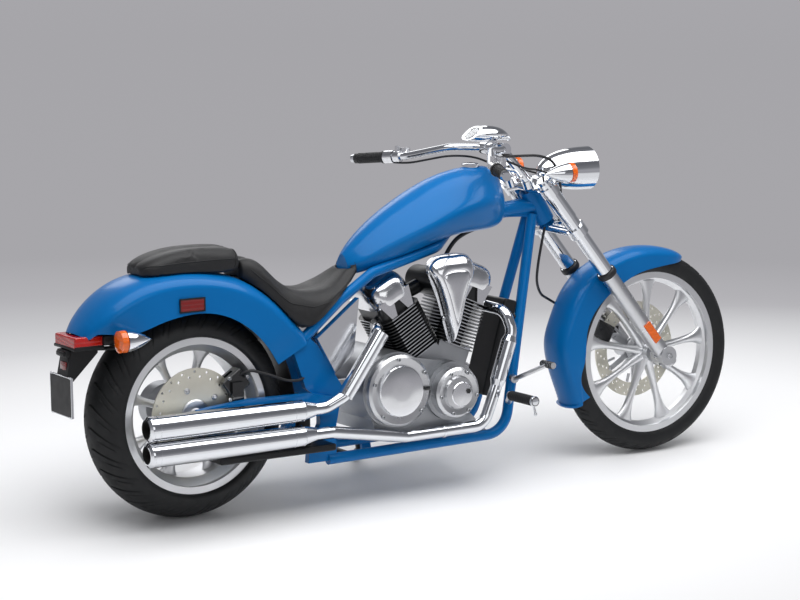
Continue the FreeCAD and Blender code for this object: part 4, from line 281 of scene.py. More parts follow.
def fin_metal(name):
    """Black enamel that turns bright at the outer edge of both barrels' fins."""
    material, tree, shader, place = blank(name)
    rims = []
    for side in (-1, 1):
        tilt = math.radians(side * 26.0 - 3.5)
        barrel = Matrix.Rotation(-tilt, 4, "Y") @ from_crank
        spot = add(tree, "ShaderNodeMapping", {
            "Vector": place, "Location": barrel.to_translation(), "Rotation": barrel.to_euler()})
        apart = add(tree, "ShaderNodeSeparateXYZ", {0: spot.outputs[0]})
        across = add(tree, "ShaderNodeMath", {0: apart.outputs["Y"]}, operation="ABSOLUTE")
        along = add(tree, "ShaderNodeMath", {0: apart.outputs["X"]}, operation="ABSOLUTE")
        edge_y = add(tree, "ShaderNodeMath", {0: across.outputs[0], 1: half_wide}, operation="GREATER_THAN")
        edge_x = add(tree, "ShaderNodeMath", {0: along.outputs[0], 1: half_deep}, operation="GREATER_THAN")
        edge = add(tree, "ShaderNodeMath", {0: edge_y.outputs[0], 1: edge_x.outputs[0]}, operation="MAXIMUM")
        own = add(tree, "ShaderNodeMath", {
            0: along.outputs[0], 1: half_deep + bright_rim}, operation="LESS_THAN")
        rims.append(add(tree, "ShaderNodeMath", {
            0: edge.outputs[0], 1: own.outputs[0]}, operation="MULTIPLY").outputs[0])
    bright = add(tree, "ShaderNodeMath", {0: rims[0], 1: rims[1]}, operation="MAXIMUM")
    grit = add(tree, "ShaderNodeTexNoise", {"Vector": place, "Scale": 1000 / 1.5, "Detail": 2.0})
    tint = add(tree, "ShaderNodeMix", {
        0: bright.outputs[0], 6: light("#121315"), 7: light("#b9bbbf")}, data_type="RGBA")
    rough = add(tree, "ShaderNodeMapRange", {"Value": grit.outputs["Fac"], "To Min": 0.28, "To Max": 0.42})
    relief = add(tree, "ShaderNodeBump", {
        "Height": grit.outputs["Fac"], "Strength": 0.12, "Distance": 0.0005})
    feed(tree, shader, {
        "Base Color": tint.outputs[2], "Metallic": bright.outputs[0], "Roughness": rough.outputs[0],
        "Normal": relief.outputs[0]})
    return material


fin_finish = fin_metal("black_fins_bright_edges")
print("leather and fins ready")

# %% [markdown]
# ## Shaping helpers
# Most small pieces of a motorcycle were turned on a lathe, so most are made the same way here: a line of
# points, spun round an axis. The alternative, a ready cylinder, has no chamfer to catch the light. A shape is
# finished in one place: doubles merged, faces turned outwards, parked, given its finish and tied to the part
# of the machine that it moves with.

# %% Spin, stand and finish a shape
def stand_on(at, axis):
    """Matrix that stands a small shape's z axis on a place."""
    return Matrix.Translation(at) @ Vector(axis).to_track_quat("Z", "Y").to_matrix().to_4x4()


def box(sheet, stand, size):
    """Box of a given size, set where a matrix stands."""
    return bmesh.ops.create_cube(sheet, size=1, matrix=stand @ Matrix.Diagonal((*size, 1)))


def spun(sheet, profile, at, axis, steps=48, closed=False):
    """Spin a line of (distance along the axis, radius) points, as on a lathe."""
    stand = stand_on(at, axis)
    line = [sheet.verts.new(stand @ Vector((radius, 0, along))) for along, radius in profile]
    edges = [sheet.edges.new(pair) for pair in zip(line, line[1:])]
    if closed:
        edges.append(sheet.edges.new((line[-1], line[0])))
    bmesh.ops.spin(sheet, geom=line + edges, cent=at, axis=axis, angle=math.tau, steps=steps, use_merge=True)
    return sheet


def mesh_from(name, sheet):
    """Turn a finished bmesh into a mesh and let it go."""
    mesh = bpy.data.meshes.new(name)
    sheet.to_mesh(mesh)
    sheet.free()
    return mesh


def piece(name, sheet, material, body, sharp=32.0):
    """Close, park and finish a shape, and tie it to a body of the machine."""
    bmesh.ops.remove_doubles(sheet, verts=sheet.verts, dist=0.002)
    bmesh.ops.recalc_face_normals(sheet, faces=sheet.faces)
    sheet.transform(DRAWN)
    mesh = mesh_from(name, sheet)
    mesh.shade_smooth()
    mesh.set_sharp_from_angle(angle=math.radians(sharp))
    mesh.materials.append(material)
    made = shown(name, mesh)
    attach(made, body)
    print(name, len(mesh.polygons), "faces")
    return made


# %% [markdown]
# ## Tyres
# The tread is what makes a tyre read as one. Grooves could be a bump in the material, but they would vanish
# at the edge of the tyre, where they show most. So the tyre is one grid, wrapped into a ring. The grid's
# columns are slanted to follow the grooves, and the columns at a groove's bottom are simply pushed in. That
# gives clean groove walls with few faces.

# %% Slanted grid wrapped into a tyre
LAND, LONG_GROOVE, SHORT_GROOVE = 0, 1, 2
groove_columns = [
    (0.00, LAND), (0.25, LAND), (0.285, LONG_GROOVE), (0.345, LONG_GROOVE), (0.38, LAND), (0.60, LAND),
    (0.63, SHORT_GROOVE), (0.67, SHORT_GROOVE), (0.70, LAND)]


def fade(value, low, high, soft):
    """One between two limits, sinking to zero over a soft band inside each."""
    return max(0.0, min(1.0, (value - low) / soft, (high - value) / soft))


def tyre_line(radius, half, crown, bead, rim_half, lip):
    """Closed outline as (across, radius, crown angle), with no angle off the tread."""
    shoulder_y = half - 2.25
    spread = math.degrees(math.asin(shoulder_y / crown))
    centre = radius - crown
    crown_line = []
    for step in range(37):
        angle = -spread + step * spread / 18
        turn = math.radians(angle)
        crown_line.append((crown * math.sin(turn), centre + crown * math.cos(turn), angle))
    foot, over, edge = bead + 0.3, lip + 0.3, rim_half + 6.3
    rise = crown_line[-1][1] - over
    side_line = []
    for share, out in ((0.0, 0.0), (0.16, 0.62), (0.33, 0.90), (0.55, 1.06), (0.78, 1.08)):
        side_line.append((edge + (shoulder_y - edge) * out, over + rise * share, None))
    left = [(-rim_half + 0.3, foot, None), (-rim_half + 0.3, over, None)]
    left += [(-y, r, None) for y, r, _ in side_line]
    right = [(-y, r, None) for y, r, _ in reversed(left)]
    return left + crown_line + right


def treaded_tyre(name, node, body, axle, line, pitches, sweep, depth, bend=1.35):
    """Tyre with slanted grooves on both sides of its middle, half a pitch apart."""
    columns, rows = pitches * len(groove_columns), len(line)
    sheet = bmesh.new()
    bmesh.ops.create_grid(sheet, x_segments=columns, y_segments=rows, size=0.5)
    pitch = math.tau / pitches
    tread_radius = max(r for _, r, _ in line)
    widest = max(a for _, _, a in line if a is not None)
    for vert in sheet.verts:
        column = round((vert.co.x + 0.5) * columns)
        across, radius, angle = line[round((vert.co.y + 0.5) * rows) % rows]
        share, kind = groove_columns[column % len(groove_columns)]
        lean = widest if angle is None else abs(angle)
        left = across > 0 if angle is None else angle > 0
        shift = sweep * (lean / widest) ** bend / tread_radius
        middle = 0.5 if angle is None else min(0.5, lean / 10)
        shift += pitch * 0.5 * (middle if left else -middle)
        turn = (column // len(groove_columns) + share) * pitch + shift
        if angle is not None:
            if kind == LONG_GROOVE:
                radius -= depth * fade(lean, 4, widest * 0.92, 4)
            if kind == SHORT_GROOVE:
                radius -= depth * 0.8 * fade(lean, widest * 0.36, widest * 0.80, 6)
        vert.co = axle + Vector((radius * math.cos(turn), across, radius * math.sin(turn)))
    made = piece(name, sheet, tyre_rubber, body, sharp=40)
    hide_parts(node)


treaded_tyre("rear_tyre_treaded", "rear_tyre", "rear_wheel", REAR_AXLE,
             tyre_line(REAR_RADIUS, 100, 104, 228.6, 80, 243), pitches=30, sweep=92, depth=5.5)
treaded_tyre("front_tyre_treaded", "front_tyre", "front_wheel", FRONT_AXLE,
             tyre_line(FRONT_RADIUS, 45, 48, 266.7, 27, 281), pitches=40, sweep=46, depth=4.0)

# %% [markdown]
# ## Brake discs
# A disc is laser-cut from stainless plate and drilled to shed water and weight. The holes have to be real,
# because daylight shows through them. Rings of edges are filled flat, which leaves each inner ring open, and
# the flat face is pulled to its thickness.

# %% Drilled plate and rivets
def cut_plate(sheet, outer, inner, holes, at, thickness):
    """Flat ring with round holes, pulled thick across the machine."""
    facing = Matrix.Translation(at) @ Matrix.Rotation(math.radians(90), 4, "X")
    for radius, place, segments in [(outer, (0, 0), 128), (inner, (0, 0), 96)] + holes:
        bmesh.ops.create_circle(
            sheet, segments=segments, radius=radius, matrix=facing @ Matrix.Translation((*place, 0)))
    face = bmesh.ops.triangle_fill(sheet, use_beauty=True, use_dissolve=False, edges=sheet.edges[:])
    flat = [item for item in face["geom"] if isinstance(item, bmesh.types.BMFace)]
    pulled = bmesh.ops.extrude_face_region(sheet, geom=flat, use_keep_orig=True)
    moved = [item for item in pulled["geom"] if isinstance(item, bmesh.types.BMVert)]
    bmesh.ops.translate(sheet, verts=moved, vec=(0, thickness, 0))
    return sheet


def ring_of(count, distance, radius, turn=0.0, segments=16):
    """Holes spaced round a circle."""
    holes = []
    for number in range(count):
        angle = math.radians(turn + number * 360 / count)
        holes.append((radius, (distance * math.cos(angle), distance * math.sin(angle)), segments))
    return holes


def button(sheet, at, axis, radius, height):
    """Rivet or screw head with a chamfer and a small hollow."""
    spun(sheet, [
        (0, 0), (0, radius), (height * 0.75, radius), (height, radius * 0.82), (height, radius * 0.42),
        (height * 0.5, radius * 0.36), (height * 0.5, 0)], at, axis, steps=18)


# %% [markdown]
# The rear disc is a full plate, riveted to a turned carrier. The front disc is a narrower ring on a star of
# six arms. The carriers are pieces of their own, because they are aluminium and the plates are steel.

# %% Rear disc and its carrier
plate_thickness, rear_face, rivet_circle = 5, -77.5, 84
drilling = ring_of(20, 137, 4.4) + ring_of(20, 121, 4.4, 9)
rear_plate = cut_plate(bmesh.new(), 148, 50.5, drilling, REAR_AXLE + ACROSS * rear_face, plate_thickness)
rear_disc = piece("rear_disc_drilled", rear_plate, disc_steel, "rear_wheel")
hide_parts("rear_disc")

heads = bmesh.new()
for number in range(5):
    angle = math.radians(38 + number * 72)
    place = REAR_AXLE + Vector((rivet_circle * math.cos(angle), rear_face, rivet_circle * math.sin(angle)))
    button(heads, place, -ACROSS, 9.5, 4)
    button(heads, place - ACROSS * 4, -ACROSS, 5.5, 3)
spun(heads, [(0, 13), (0, 50.3), (6, 50.3), (9, 46), (9, 24), (16, 20), (16, 13)],
     REAR_AXLE + ACROSS * (rear_face + plate_thickness), -ACROSS, steps=64, closed=True)
piece("rear_disc_carrier", heads, brushed_alloy, "rear_wheel")

# %% Front disc and its star
front_face = 59.5
drilling = ring_of(24, 158, 3.8) + ring_of(24, 145, 3.8, 5) + ring_of(24, 132, 3.8, 10)
front_plate = cut_plate(bmesh.new(), 168, 120, drilling, FRONT_AXLE + ACROSS * front_face, plate_thickness)
front_disc = piece("front_disc_drilled", front_plate, disc_steel, "front_wheel")
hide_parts("front_disc")

arms = bmesh.new()
middle = FRONT_AXLE + ACROSS * (front_face + plate_thickness / 2)
for number in range(6):
    turn = Matrix.Translation(middle) @ Matrix.Rotation(math.radians(number * 60), 4, "Y")
    box(arms, turn @ Matrix.Translation((0, 0, 76)), (20, 5, 82))
    for lean in (-14, 14):
        spread = turn @ Matrix.Rotation(math.radians(lean), 4, "Y")
        box(arms, spread @ Matrix.Translation((0, 0, 104)), (9, 4.6, 30))
    button(arms, turn @ Vector((0, -2.5, 120)), -ACROSS, 8, 3)
    button(arms, turn @ Vector((0, 2.5, 120)), ACROSS, 8, 3)
spun(arms, [(-2.5, 14), (-2.5, 44), (2.5, 44), (6, 38), (6, 14)], middle, ACROSS, steps=64, closed=True)
piece("front_disc_carrier", arms, brushed_alloy, "front_wheel")

# %% [markdown]
# ## Engine trim
# The two round covers on the right are satin at the rim and buffed bright in the middle, so each gets a
# turned cap. Socket screws sit around it. Their places were read from the picture as angles round each cover.

# %% Screws and bright caps of the covers
def cap_screw(sheet, at, axis, radius=6.0, height=5.0):
    """Socket cap screw with the round hollow that the key goes into."""
    spun(sheet, [
        (0, 0), (0, radius), (height * 0.8, radius), (height, radius * 0.84), (height, radius * 0.52),
        (height * 0.35, radius * 0.46), (height * 0.35, 0)], at, axis, steps=20)


def round_places(centre, distance, angles):
    """Places round a centre in the side view."""
    turns = [math.radians(angle) for angle in angles]
    return [centre + Vector((distance * math.cos(turn), 0, distance * math.sin(turn))) for turn in turns]


CLUTCH = Vector((682, -188.3, 348))
CRANK = Vector((898, -196.3, 322))
caps = bmesh.new()
spun(caps, [(-16, 0), (-16, 82), (-4, 82), (-0.5, 79.5), (0.8, 76), (1.6, 30), (1.8, 0)],
     CLUTCH, -ACROSS, steps=96)
spun(caps, [(-14, 0), (-14, 41), (-3, 41), (0.5, 38), (1.4, 14), (1.6, 0)],
     CRANK + Vector((9, 0, -5)), -ACROSS, steps=72)
piece("polished_cover_caps", caps, buffed_alloy, "chassis")

screws = bmesh.new()
for place in round_places(CLUTCH, 103, (95, 30, -43, 228, 163)):
    cap_screw(screws, place + ACROSS * 8, -ACROSS, 6.5, 7)
for place in round_places(CRANK, 70, (116, 63, 187, 250, 300, -12)):
    cap_screw(screws, place + ACROSS * 8, -ACROSS, 6.0, 7)
piece("cover_screws", screws, zinc_steel, "chassis")

windows = bmesh.new()
box(windows, Matrix.Translation(CLUTCH + Vector((96, 5, 0))), (20, 8, 13))
bmesh.ops.bevel(
    windows, geom=windows.edges[:], offset=2, segments=2, profile=0.5, material=-1, affect="EDGES")
spun(windows, [(-2, 0), (-2, 9.5), (3.4, 9.5), (4, 8.5), (4, 0)],
     CRANK + Vector((30, 0, 4)), -ACROSS, steps=6)
piece("sight_window_and_plug", windows, black_gloss, "chassis")

# %% [markdown]
# ## Silencer tips
# Each can ends in a bevelled ring round its bore, and a rolled bead marks where the end caps are welded on.
# The bore is lined in matt near-black and shut by a near-black disc some 44 mm in: painted shade for the
# depth of the open pipe. The beads are thin turned rings that stand half a millimetre proud.

# %% Silencer rings and bores
tips, bore_lining = bmesh.new(), bmesh.new()
for height in (328.0, 249.0):
    tip = Vector((-220, -196, height))
    spun(tips, [
        (-7, 26), (-7, 29.5), (-1, 38.2), (2, 39.2), (6, 39.2), (7, 38.4), (7, 33.2), (24, 30.5), (24, 26)],
         tip, FORWARD, steps=72, closed=True)
    for along, radius in ((26, 38.5), (492, 34.2), (526, 33.6)):
        spun(tips, [(-1.6, radius - 1), (-1.6, radius + 0.3), (-0.8, radius + 0.9), (0.8, radius + 0.9),
                    (1.6, radius + 0.3), (1.6, radius - 1)],
             tip + FORWARD * along, FORWARD, steps=72, closed=True)
    spun(bore_lining, [(-5.5, 25.9), (44, 25.9), (44, 0), (45, 0), (45, 27.5), (-5.5, 27.5)], tip, FORWARD)
piece("silencer_tips", tips, chrome, "chassis")
# Matt near-black for the lining and the disc that shuts each bore: painted shade for the pipe's depth.
bore_shade_paint = finish("exhaust_bore_painted_shade", "#0b0b0b", "#15110e", rough=0.85, cloud=12, grain=0.8, bump=0.2)
piece("silencer_bores", bore_lining, bore_shade_paint, "chassis")

# %% [markdown]
# ## Tail
# The plate hangs in a bright wire frame with a black blank in it, held by four clips. Above it the black
# holder carries a small red reflector, and a hood for the plate's lamp.

# %% Plate frame, reflector and lamp hood
def slab(sheet, low, high, round_by):
    """Box between two corners with rounded edges."""
    low, high = Vector(low), Vector(high)
    made = box(sheet, Matrix.Translation((low + high) / 2), high - low)
    edges = list({edge for vert in made["verts"] for edge in vert.link_edges})
    bmesh.ops.bevel(sheet, geom=edges, offset=round_by, segments=2, profile=0.5, material=-1, affect="EDGES")


plate = bmesh.new()
low_z, high_z, half = 366.0, 482.0, 72.0
face_x, back_x, bar = -411.9, -404, 4
for y in (-half - bar, half):
    slab(plate, (face_x, y, low_z - bar), (back_x, y + bar, high_z + bar), 1.6)
for z in (low_z - bar, high_z):
    slab(plate, (face_x, -half - bar, z), (back_x, half + bar, z + bar), 1.6)
for y in (-half + 8, half - 8):
    for z in (low_z - 1, high_z + 1):
        slab(plate, (face_x, y - 7, z - 5), (-406, y + 7, z + 5), 1.5)
piece("plate_frame", plate, chrome, "chassis")

holder = bmesh.new()
slab(holder, (-406, -34, 540), (-380, 34, 562), 4)
slab(holder, (-412, -26, 544), (-398, 26, 558), 3)
slab(holder, (-398, -30, 490), (-388, 30, 545), 3)
slab(holder, (-397, -74, 563), (-330, 74, 573), 3)
piece("plate_lamp_hood", holder, black_plastic, "chassis")

glass = bmesh.new()
slab(glass, (-402, -21, 500), (-396, 21, 526), 2)
piece("stem_reflector", glass, dark_lens, "chassis")

# %% [markdown]
# ## Seats
# A motorcycle seat is foam under stretched leather: full in the middle, pulled in at the seams. A smooth
# solid shows none of that. So a slightly shrunk copy of each solid seat is remeshed evenly and inflated for
# a moment as cloth, with no gravity. How far a point may move is capped, and the underside, which lies on the
# mudguard and the frame, is held still.

# %% Inflate a copy of a solid seat
def evened(made, voxel):
    """Give an object an even mesh without holes or doubles."""
    even = made.modifiers.new("even", "REMESH")
    even.mode, even.voxel_size = "VOXEL", voxel
    made.data = frozen(made)
    made.modifiers.clear()


def frozen(made):
    """The object's mesh as its modifiers leave it."""
    graph = bpy.context.evaluated_depsgraph_get()
    return bpy.data.meshes.new_from_object(made.evaluated_get(graph))


def shrunk_copy(name, node, by):
    """Merged copy of a solid, drawn in along its normals."""
    sheet = bmesh.new()
    sheet.from_mesh(nodes[node].data)
    bmesh.ops.remove_doubles(sheet, verts=sheet.verts, dist=0.00001)
    bmesh.ops.recalc_face_normals(sheet, faces=sheet.faces)
    sheet.normal_update()
    for vert in sheet.verts:
        vert.co -= vert.normal * by
    return shown(name, mesh_from(name, sheet))


def inflate(made, cap, frames=20):
    """Blow cloth up for a moment, then hold back the points that went too far or face down."""
    before = [vert.co.copy() for vert in made.data.vertices]
    normals = [vert.normal.copy() for vert in made.data.vertices]
    cloth = made.modifiers.new("cloth", "CLOTH")
    cloth.settings.use_pressure = True
    cloth.settings.uniform_pressure_force = 4.0
    cloth.settings.effector_weights.gravity = 0.0
    cloth.settings.quality = 6
    scene = bpy.context.scene
    for number in range(1, frames + 1):
        scene.frame_set(number)
    after = frozen(made)
    made.modifiers.clear()
    scene.frame_set(1)
    farthest = 0.0
    for vert, old, normal, new in zip(made.data.vertices, before, normals, after.vertices):
        reach = cap * max(0.0, min(1.0, normal.z * 1.6 + 0.9))
        step = new.co - old
        if step.length > reach:
            step *= reach / step.length
        farthest = max(farthest, step.length)
        vert.co = old + step
    print(made.name, "moved up to", round(farthest * 1000, 1), "mm")


def padded_seat(name, node, cap=0.006):
    """Padded and evenly meshed stand-in for a solid seat."""
    made = shrunk_copy(name, node, 0.0045)
    evened(made, 0.005)
    inflate(made, cap)
    smooth = made.modifiers.new("smooth", "SUBSURF")
    smooth.levels = smooth.render_levels = 1
    made.data = frozen(made)
    made.modifiers.clear()
    made.data.shade_smooth()
    made.data.materials.clear()
    made.data.materials.append(seat_leather)
    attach(made, "chassis")
    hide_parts(node)
    print(name, len(made.data.polygons), "faces")
    return made


rider_seat = padded_seat("rider_seat_padded", "rider_seat")
passenger_pad = padded_seat("passenger_pad_padded", "passenger_pad")

# %% [markdown]
# The cover's panels are joined by welted seams along the sides. Each seam is a thin cord of leather. Its
# points are laid near the padding in the drawing and then dropped onto the nearest place on the padded
# surface, so the seam follows whatever shape the cloth took.

# %% Welted seams on the padding
def on_surface(made):
    """Search tree over a piece's surface."""
    sheet = bmesh.new()
    sheet.from_mesh(made.data)
    found = BVHTree.FromBMesh(sheet)
    sheet.free()
    return found


def between(points, count):
    """Evenly spaced places along straight runs."""
    runs = list(zip(points, points[1:]))
    places = []
    for start, end in runs:
        places += [start.lerp(end, step / count) for step in range(count)]
    return places + [points[-1]]


def welt(name, made, points, radius, lift=0.0004):
    """Thin cord along a line of drawn points, dropped onto a padded piece."""
    surface = on_surface(made)
    curve = bpy.data.curves.new(name, "CURVE")
    curve.dimensions = "3D"
    curve.bevel_depth, curve.bevel_resolution = radius, 3
    line = curve.splines.new("NURBS")
    laid = []
    for place in between([Vector(p) for p in points], 8):
        spot, normal, _, _ = surface.find_nearest(DRAWN @ place)
        laid.append(spot + normal * lift)
    line.points.add(len(laid) - 1)
    for point, place in zip(line.points, laid):
        point.co = (*place, 1.0)
    line.order_u = 4
    line.use_endpoint_u = True
    curve.use_fill_caps = True
    curve.materials.append(seat_leather)
    seam = shown(name, curve)
    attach(seam, "chassis")


for side, word in SIDES:
    welt(word + "_seat_seam", rider_seat, [
        (196, side * 92, 770), (250, side * 116, 716), (320, side * 130, 660), (400, side * 134, 640),
        (470, side * 130, 652), (540, side * 108, 690), (600, side * 76, 745), (622, side * 44, 782)], 0.0016)
    welt(word + "_pad_seam", passenger_pad, [
        (-150, side * 50, 792), (-110, side * 82, 800), (-40, side * 94, 806), (40, side * 96, 808),
        (110, side * 90, 806), (158, side * 76, 804)], 0.0015)
welt("pad_front_seam", passenger_pad, [
    (150, -84, 775), (158, -80, 812), (162, -40, 836), (162, 0, 840), (162, 40, 836), (158, 80, 812),
    (150, 84, 775)], 0.0018)

# %% [markdown]
# ## Fork and axles
# The fork legs lean 39 degrees, more than the steering axis, so their parts are placed along the leg itself.
# A black wiper seals the top of each slider. A pinch bolt closes each slider round the axle, and the ends of
# the axles are plugged.

# %% Wipers, pinch bolts and axle plugs
leg_lean, leg_side, neck_x = math.radians(39), 105.0, 1300
LEG = Vector((-math.sin(leg_lean), 0, math.cos(leg_lean)))
LEG_FRONT = Vector((LEG.z, 0, -LEG.x))


def leg_place(along, side):
    """Place on a fork leg, at a distance up from the axle."""
    return FRONT_AXLE + LEG * along + ACROSS * (leg_side * side)


wipers, bolts = bmesh.new(), bmesh.new()
for side in (-1, 1):
    spun(wipers, [
        (-9, 31.4), (-9, 33.2), (-7, 33.8), (6, 33.8), (9, 32.6), (12, 30.4), (12, 29.4), (9, 31.4)],
         leg_place(391, side), LEG, steps=56, closed=True)
    for along in (-16, 22):
        cap_screw(bolts, leg_place(along, side) - LEG_FRONT * 27.5, -LEG_FRONT, 5.5, 6)
    spun(bolts, [(-3, 0), (-3, 11), (1.5, 11), (3, 9.5), (3, 6), (-1, 5.2), (-1, 0)],
         FRONT_AXLE + ACROSS * (143.0 * side), ACROSS * side, steps=6)
for side, face in ((-1, 141.0), (1, 176.0)):
    spun(bolts, [(-3, 0), (-3, 15), (3, 15), (5, 12.5), (5, 7), (0, 6), (0, 0)],
         REAR_AXLE + ACROSS * (face * side), ACROSS * side, steps=6)
    spun(bolts, [(-2, 0), (-2, 12), (3, 12), (4.5, 10.5), (4.5, 0)],
         Vector((440, 134.0 * side, 318)), ACROSS * side, steps=40)
piece("slider_wipers", wipers, moulded_rubber, "fork")

# %% [markdown]
# The wheel and pivot bolts belong to different bodies of the machine, so the one shape is parted by place:
# what lies ahead of the neck rides with the fork, and what lies behind stays with the frame.

# %% Part the bolts by body
for name, body, ahead in (
        ("axle_and_pinch_bolts", "fork", True), ("rear_axle_and_pivot_caps", "chassis", False)):
    share_of = bolts.copy()
    away = [vert for vert in share_of.verts if (vert.co.x > neck_x) != ahead]
    bmesh.ops.delete(share_of, geom=away, context="VERTS")
    piece(name, share_of, zinc_steel, body)
bolts.free()

# %% [markdown]
# ## Controls and instrument
# The dial sits in a shallow round recess that faces the rider, square to the fork legs. It carries plain
# ticks and a needle under a thin glass. The grips have turned ribs, and so have the pegs and pedals.

# %% Dial with ticks, needle and glass
DIAL = Vector((1082, 0, 1142))


def dial_mark(sheet, angle, start, end, width, lift):
    """Small raised bar on the dial, between two radii."""
    up = stand_on(DIAL + LEG * lift, LEG) @ Matrix.Rotation(math.radians(angle), 4, "Z")
    box(sheet, up @ Matrix.Translation(((start + end) / 2, 0, 0)), (end - start, width, 0.4))


dial = spun(bmesh.new(), [(-2.9, 0), (-2.9, 24.6), (-2.2, 24.6), (-2.2, 0)], DIAL, LEG, steps=64)
piece("dial_face", dial, black_plastic, "fork")
white_print = finish("white_print", "#e9eaea", "#e2e3e3", rough=0.5)
ticks = bmesh.new()
for number in range(25):
    start, width = (19.5, 0.9) if number % 4 else (17.0, 1.4)
    dial_mark(ticks, 30 + number * 12.5, start, 22.6, width, -2.0)
dial_mark(ticks, 122, -4.0, 18.5, 1.1, -1.2)
spun(ticks, [(-2.2, 0), (-2.2, 2.2), (-0.9, 2.2), (-0.7, 1.6), (-0.7, 0)], DIAL, LEG, steps=20)
piece("dial_ticks_and_needle", ticks, white_print, "fork")
bezel = spun(bmesh.new(), [
    (-1.4, 24.9), (-0.2, 24.9), (0.9, 25.6), (1.5, 26.8), (1.2, 28.2), (-0.6, 28.9), (-1.4, 28.2)],
    DIAL, LEG, steps=64, closed=True)
piece("dial_bezel", bezel, chrome, "fork")
glass = spun(bmesh.new(), [(-0.6, 0), (-0.6, 24.8), (0.1, 24.8), (0.5, 12), (0.6, 0)], DIAL, LEG, steps=64)
piece("dial_glass", glass, clear_lens, "fork")

# %% [markdown]
# Grips, pegs and pedals are moulded with rings, so that a glove or boot doesn't slip. To have them cut in, a
# rod would need a fine mesh all along it, so each ring is a narrow turned band laid round the solid.

# %% Ribs on grips, pegs and pedals
def ribs(sheet, start, axis, count, pitch, inner, outer, width):
    """Row of rounded rings along a rod."""
    for number in range(count):
        spun(sheet, [(-width / 2, inner), (-width / 2, outer - 0.5), (-width / 4, outer), (width / 4, outer),
                     (width / 2, outer - 0.5), (width / 2, inner)],
             start + axis * (pitch * number), axis, steps=36, closed=True)


for side, word in SIDES:
    ribbed = bmesh.new()
    pedal_z = 392 if word == "right" else 384
    ribs(ribbed, Vector((1074, side * 236, 300)), ACROSS * side, 13, 9.6, 14.4, 16.6, 4.2)
    ribs(ribbed, Vector((1206, side * 224, pedal_z)), ACROSS * side, 7, 9.0, 10.0, 12.0, 4.0)
    piece(word + "_peg_and_pedal_ribs", ribbed, moulded_rubber, "chassis")
    ends = bmesh.new()
    spun(ends, [(-11, 14), (-11, 16.4), (-9, 17.2), (-4, 17.2), (-1, 15.6), (0, 12.5), (0.2, 0)],
         Vector((1074, side * 366, 300)), ACROSS * side)
    spun(ends, [(0, 0), (0, 3.6), (26, 3.6), (29, 5.2), (34, 5.2), (37, 3.4), (38, 0)],
         Vector((1076, side * 352, 286)), Vector((0.24, 0.05 * side, -1)).normalized(), steps=24)
    piece(word + "_peg_end_and_feeler", ends, chrome, "chassis")
    gripped = bmesh.new()
    along = Vector((-0.378, 0.9225 * side, -0.0785)).normalized()
    ribs(gripped, Vector((929, side * 387, 1045)) - along * 50, along, 13, 8.2, 16.6, 18.2, 3.6)
    piece(word + "_grip_ribs", gripped, moulded_rubber, "fork")

# %% [markdown]
# ## Small trim
# The rest is a handful of small things that the eye misses when they are gone: a seam ring on the exhaust,
# the flange and bolts of the drop-shaped cover, bolts on the rear caliper, black frames round the side
# reflectors, the dark tray under the tail, and a reflector bowl inside the headlamp.

# %% Exhaust seam, caliper bolts and reflector frames
seam = spun(bmesh.new(), [(-5, 19.2), (-5, 20.6), (-3.5, 21.6), (3.5, 21.6), (5, 20.6), (5, 19.2)],
            Vector((855, -158.1, 196.2)), FORWARD, steps=56, closed=True)
piece("header_seam_ring", seam, chrome, "chassis")

caliper = bmesh.new()
for x, z in ((102, 438), (164, 438), (102, 372)):
    cap_screw(caliper, Vector((x, -109.5, z)), -ACROSS, 6.0, 6)
piece("rear_caliper_bolts", caliper, zinc_steel, "chassis")

frames = bmesh.new()
for side in (-1, 1):
    near, far_y = sorted((side * 127, side * 131.2))
    slab(frames, (-72, near, 657), (-67.4, far_y, 701), 1.4)
    slab(frames, (11.4, near, 657), (16, far_y, 701), 1.4)
    slab(frames, (-72, near, 657), (16, far_y, 661.6), 1.4)
    slab(frames, (-72, near, 696.4), (16, far_y, 701), 1.4)
piece("fender_reflector_frames", frames, black_plastic, "chassis")

tray = bmesh.new()
slab(tray, (-393, -73.4, 562), (-297, 73.4, 577), 4)
slab(tray, (-304, -84, 574), (-232, 84, 604), 6)
piece("tail_tray", tray, black_plastic, "chassis")

lamp_line = Vector((0, 0, 1003))
bowl = spun(bmesh.new(), [
    (1546, 69.2), (1528, 65), (1504, 52), (1488, 34), (1480, 14), (1480, 0), (1478, 0), (1478, 15),
    (1486, 36), (1502, 54), (1527, 67), (1546, 70.6)], lamp_line, FORWARD, steps=72)
spun(bowl, [(1480, 0), (1480, 9), (1500, 9), (1506, 6), (1508, 0)], lamp_line, FORWARD, steps=24)
piece("headlamp_bowl", bowl, chrome, "fork")

# %% [markdown]
# The drop-shaped cover is pressed from sheet, with a flat flange round it and a crown that is never quite
# flat. Its outline is the same line of shares that shaped the solid, made smooth here, so the flange and
# crown follow it exactly.

# %% Flange, crown and bolts of the drop-shaped cover
drop_line = [
    (0.0, 0.0), (0.07, 0.10), (0.22, 0.45), (0.38, 0.72), (0.45, 0.88), (0.36, 0.97), (0.0, 1.0),
    (-0.36, 0.97), (-0.50, 0.88), (-0.42, 0.72), (-0.25, 0.45), (-0.09, 0.10)]
drop_x, drop_half, drop_z, drop_high, drop_middle = 902, 172, 484, 280, 0.6


def smooth_between(before, start, end, beyond, share):
    """Place on a smooth line through four points, between the middle two."""
    pull = before * 2 - start * 5 + end * 4 - beyond
    twist = start * 3 - before - end * 3 + beyond
    return start + (end - before) * (share / 2) + pull * (share * share / 2) + twist * (share ** 3 / 2)


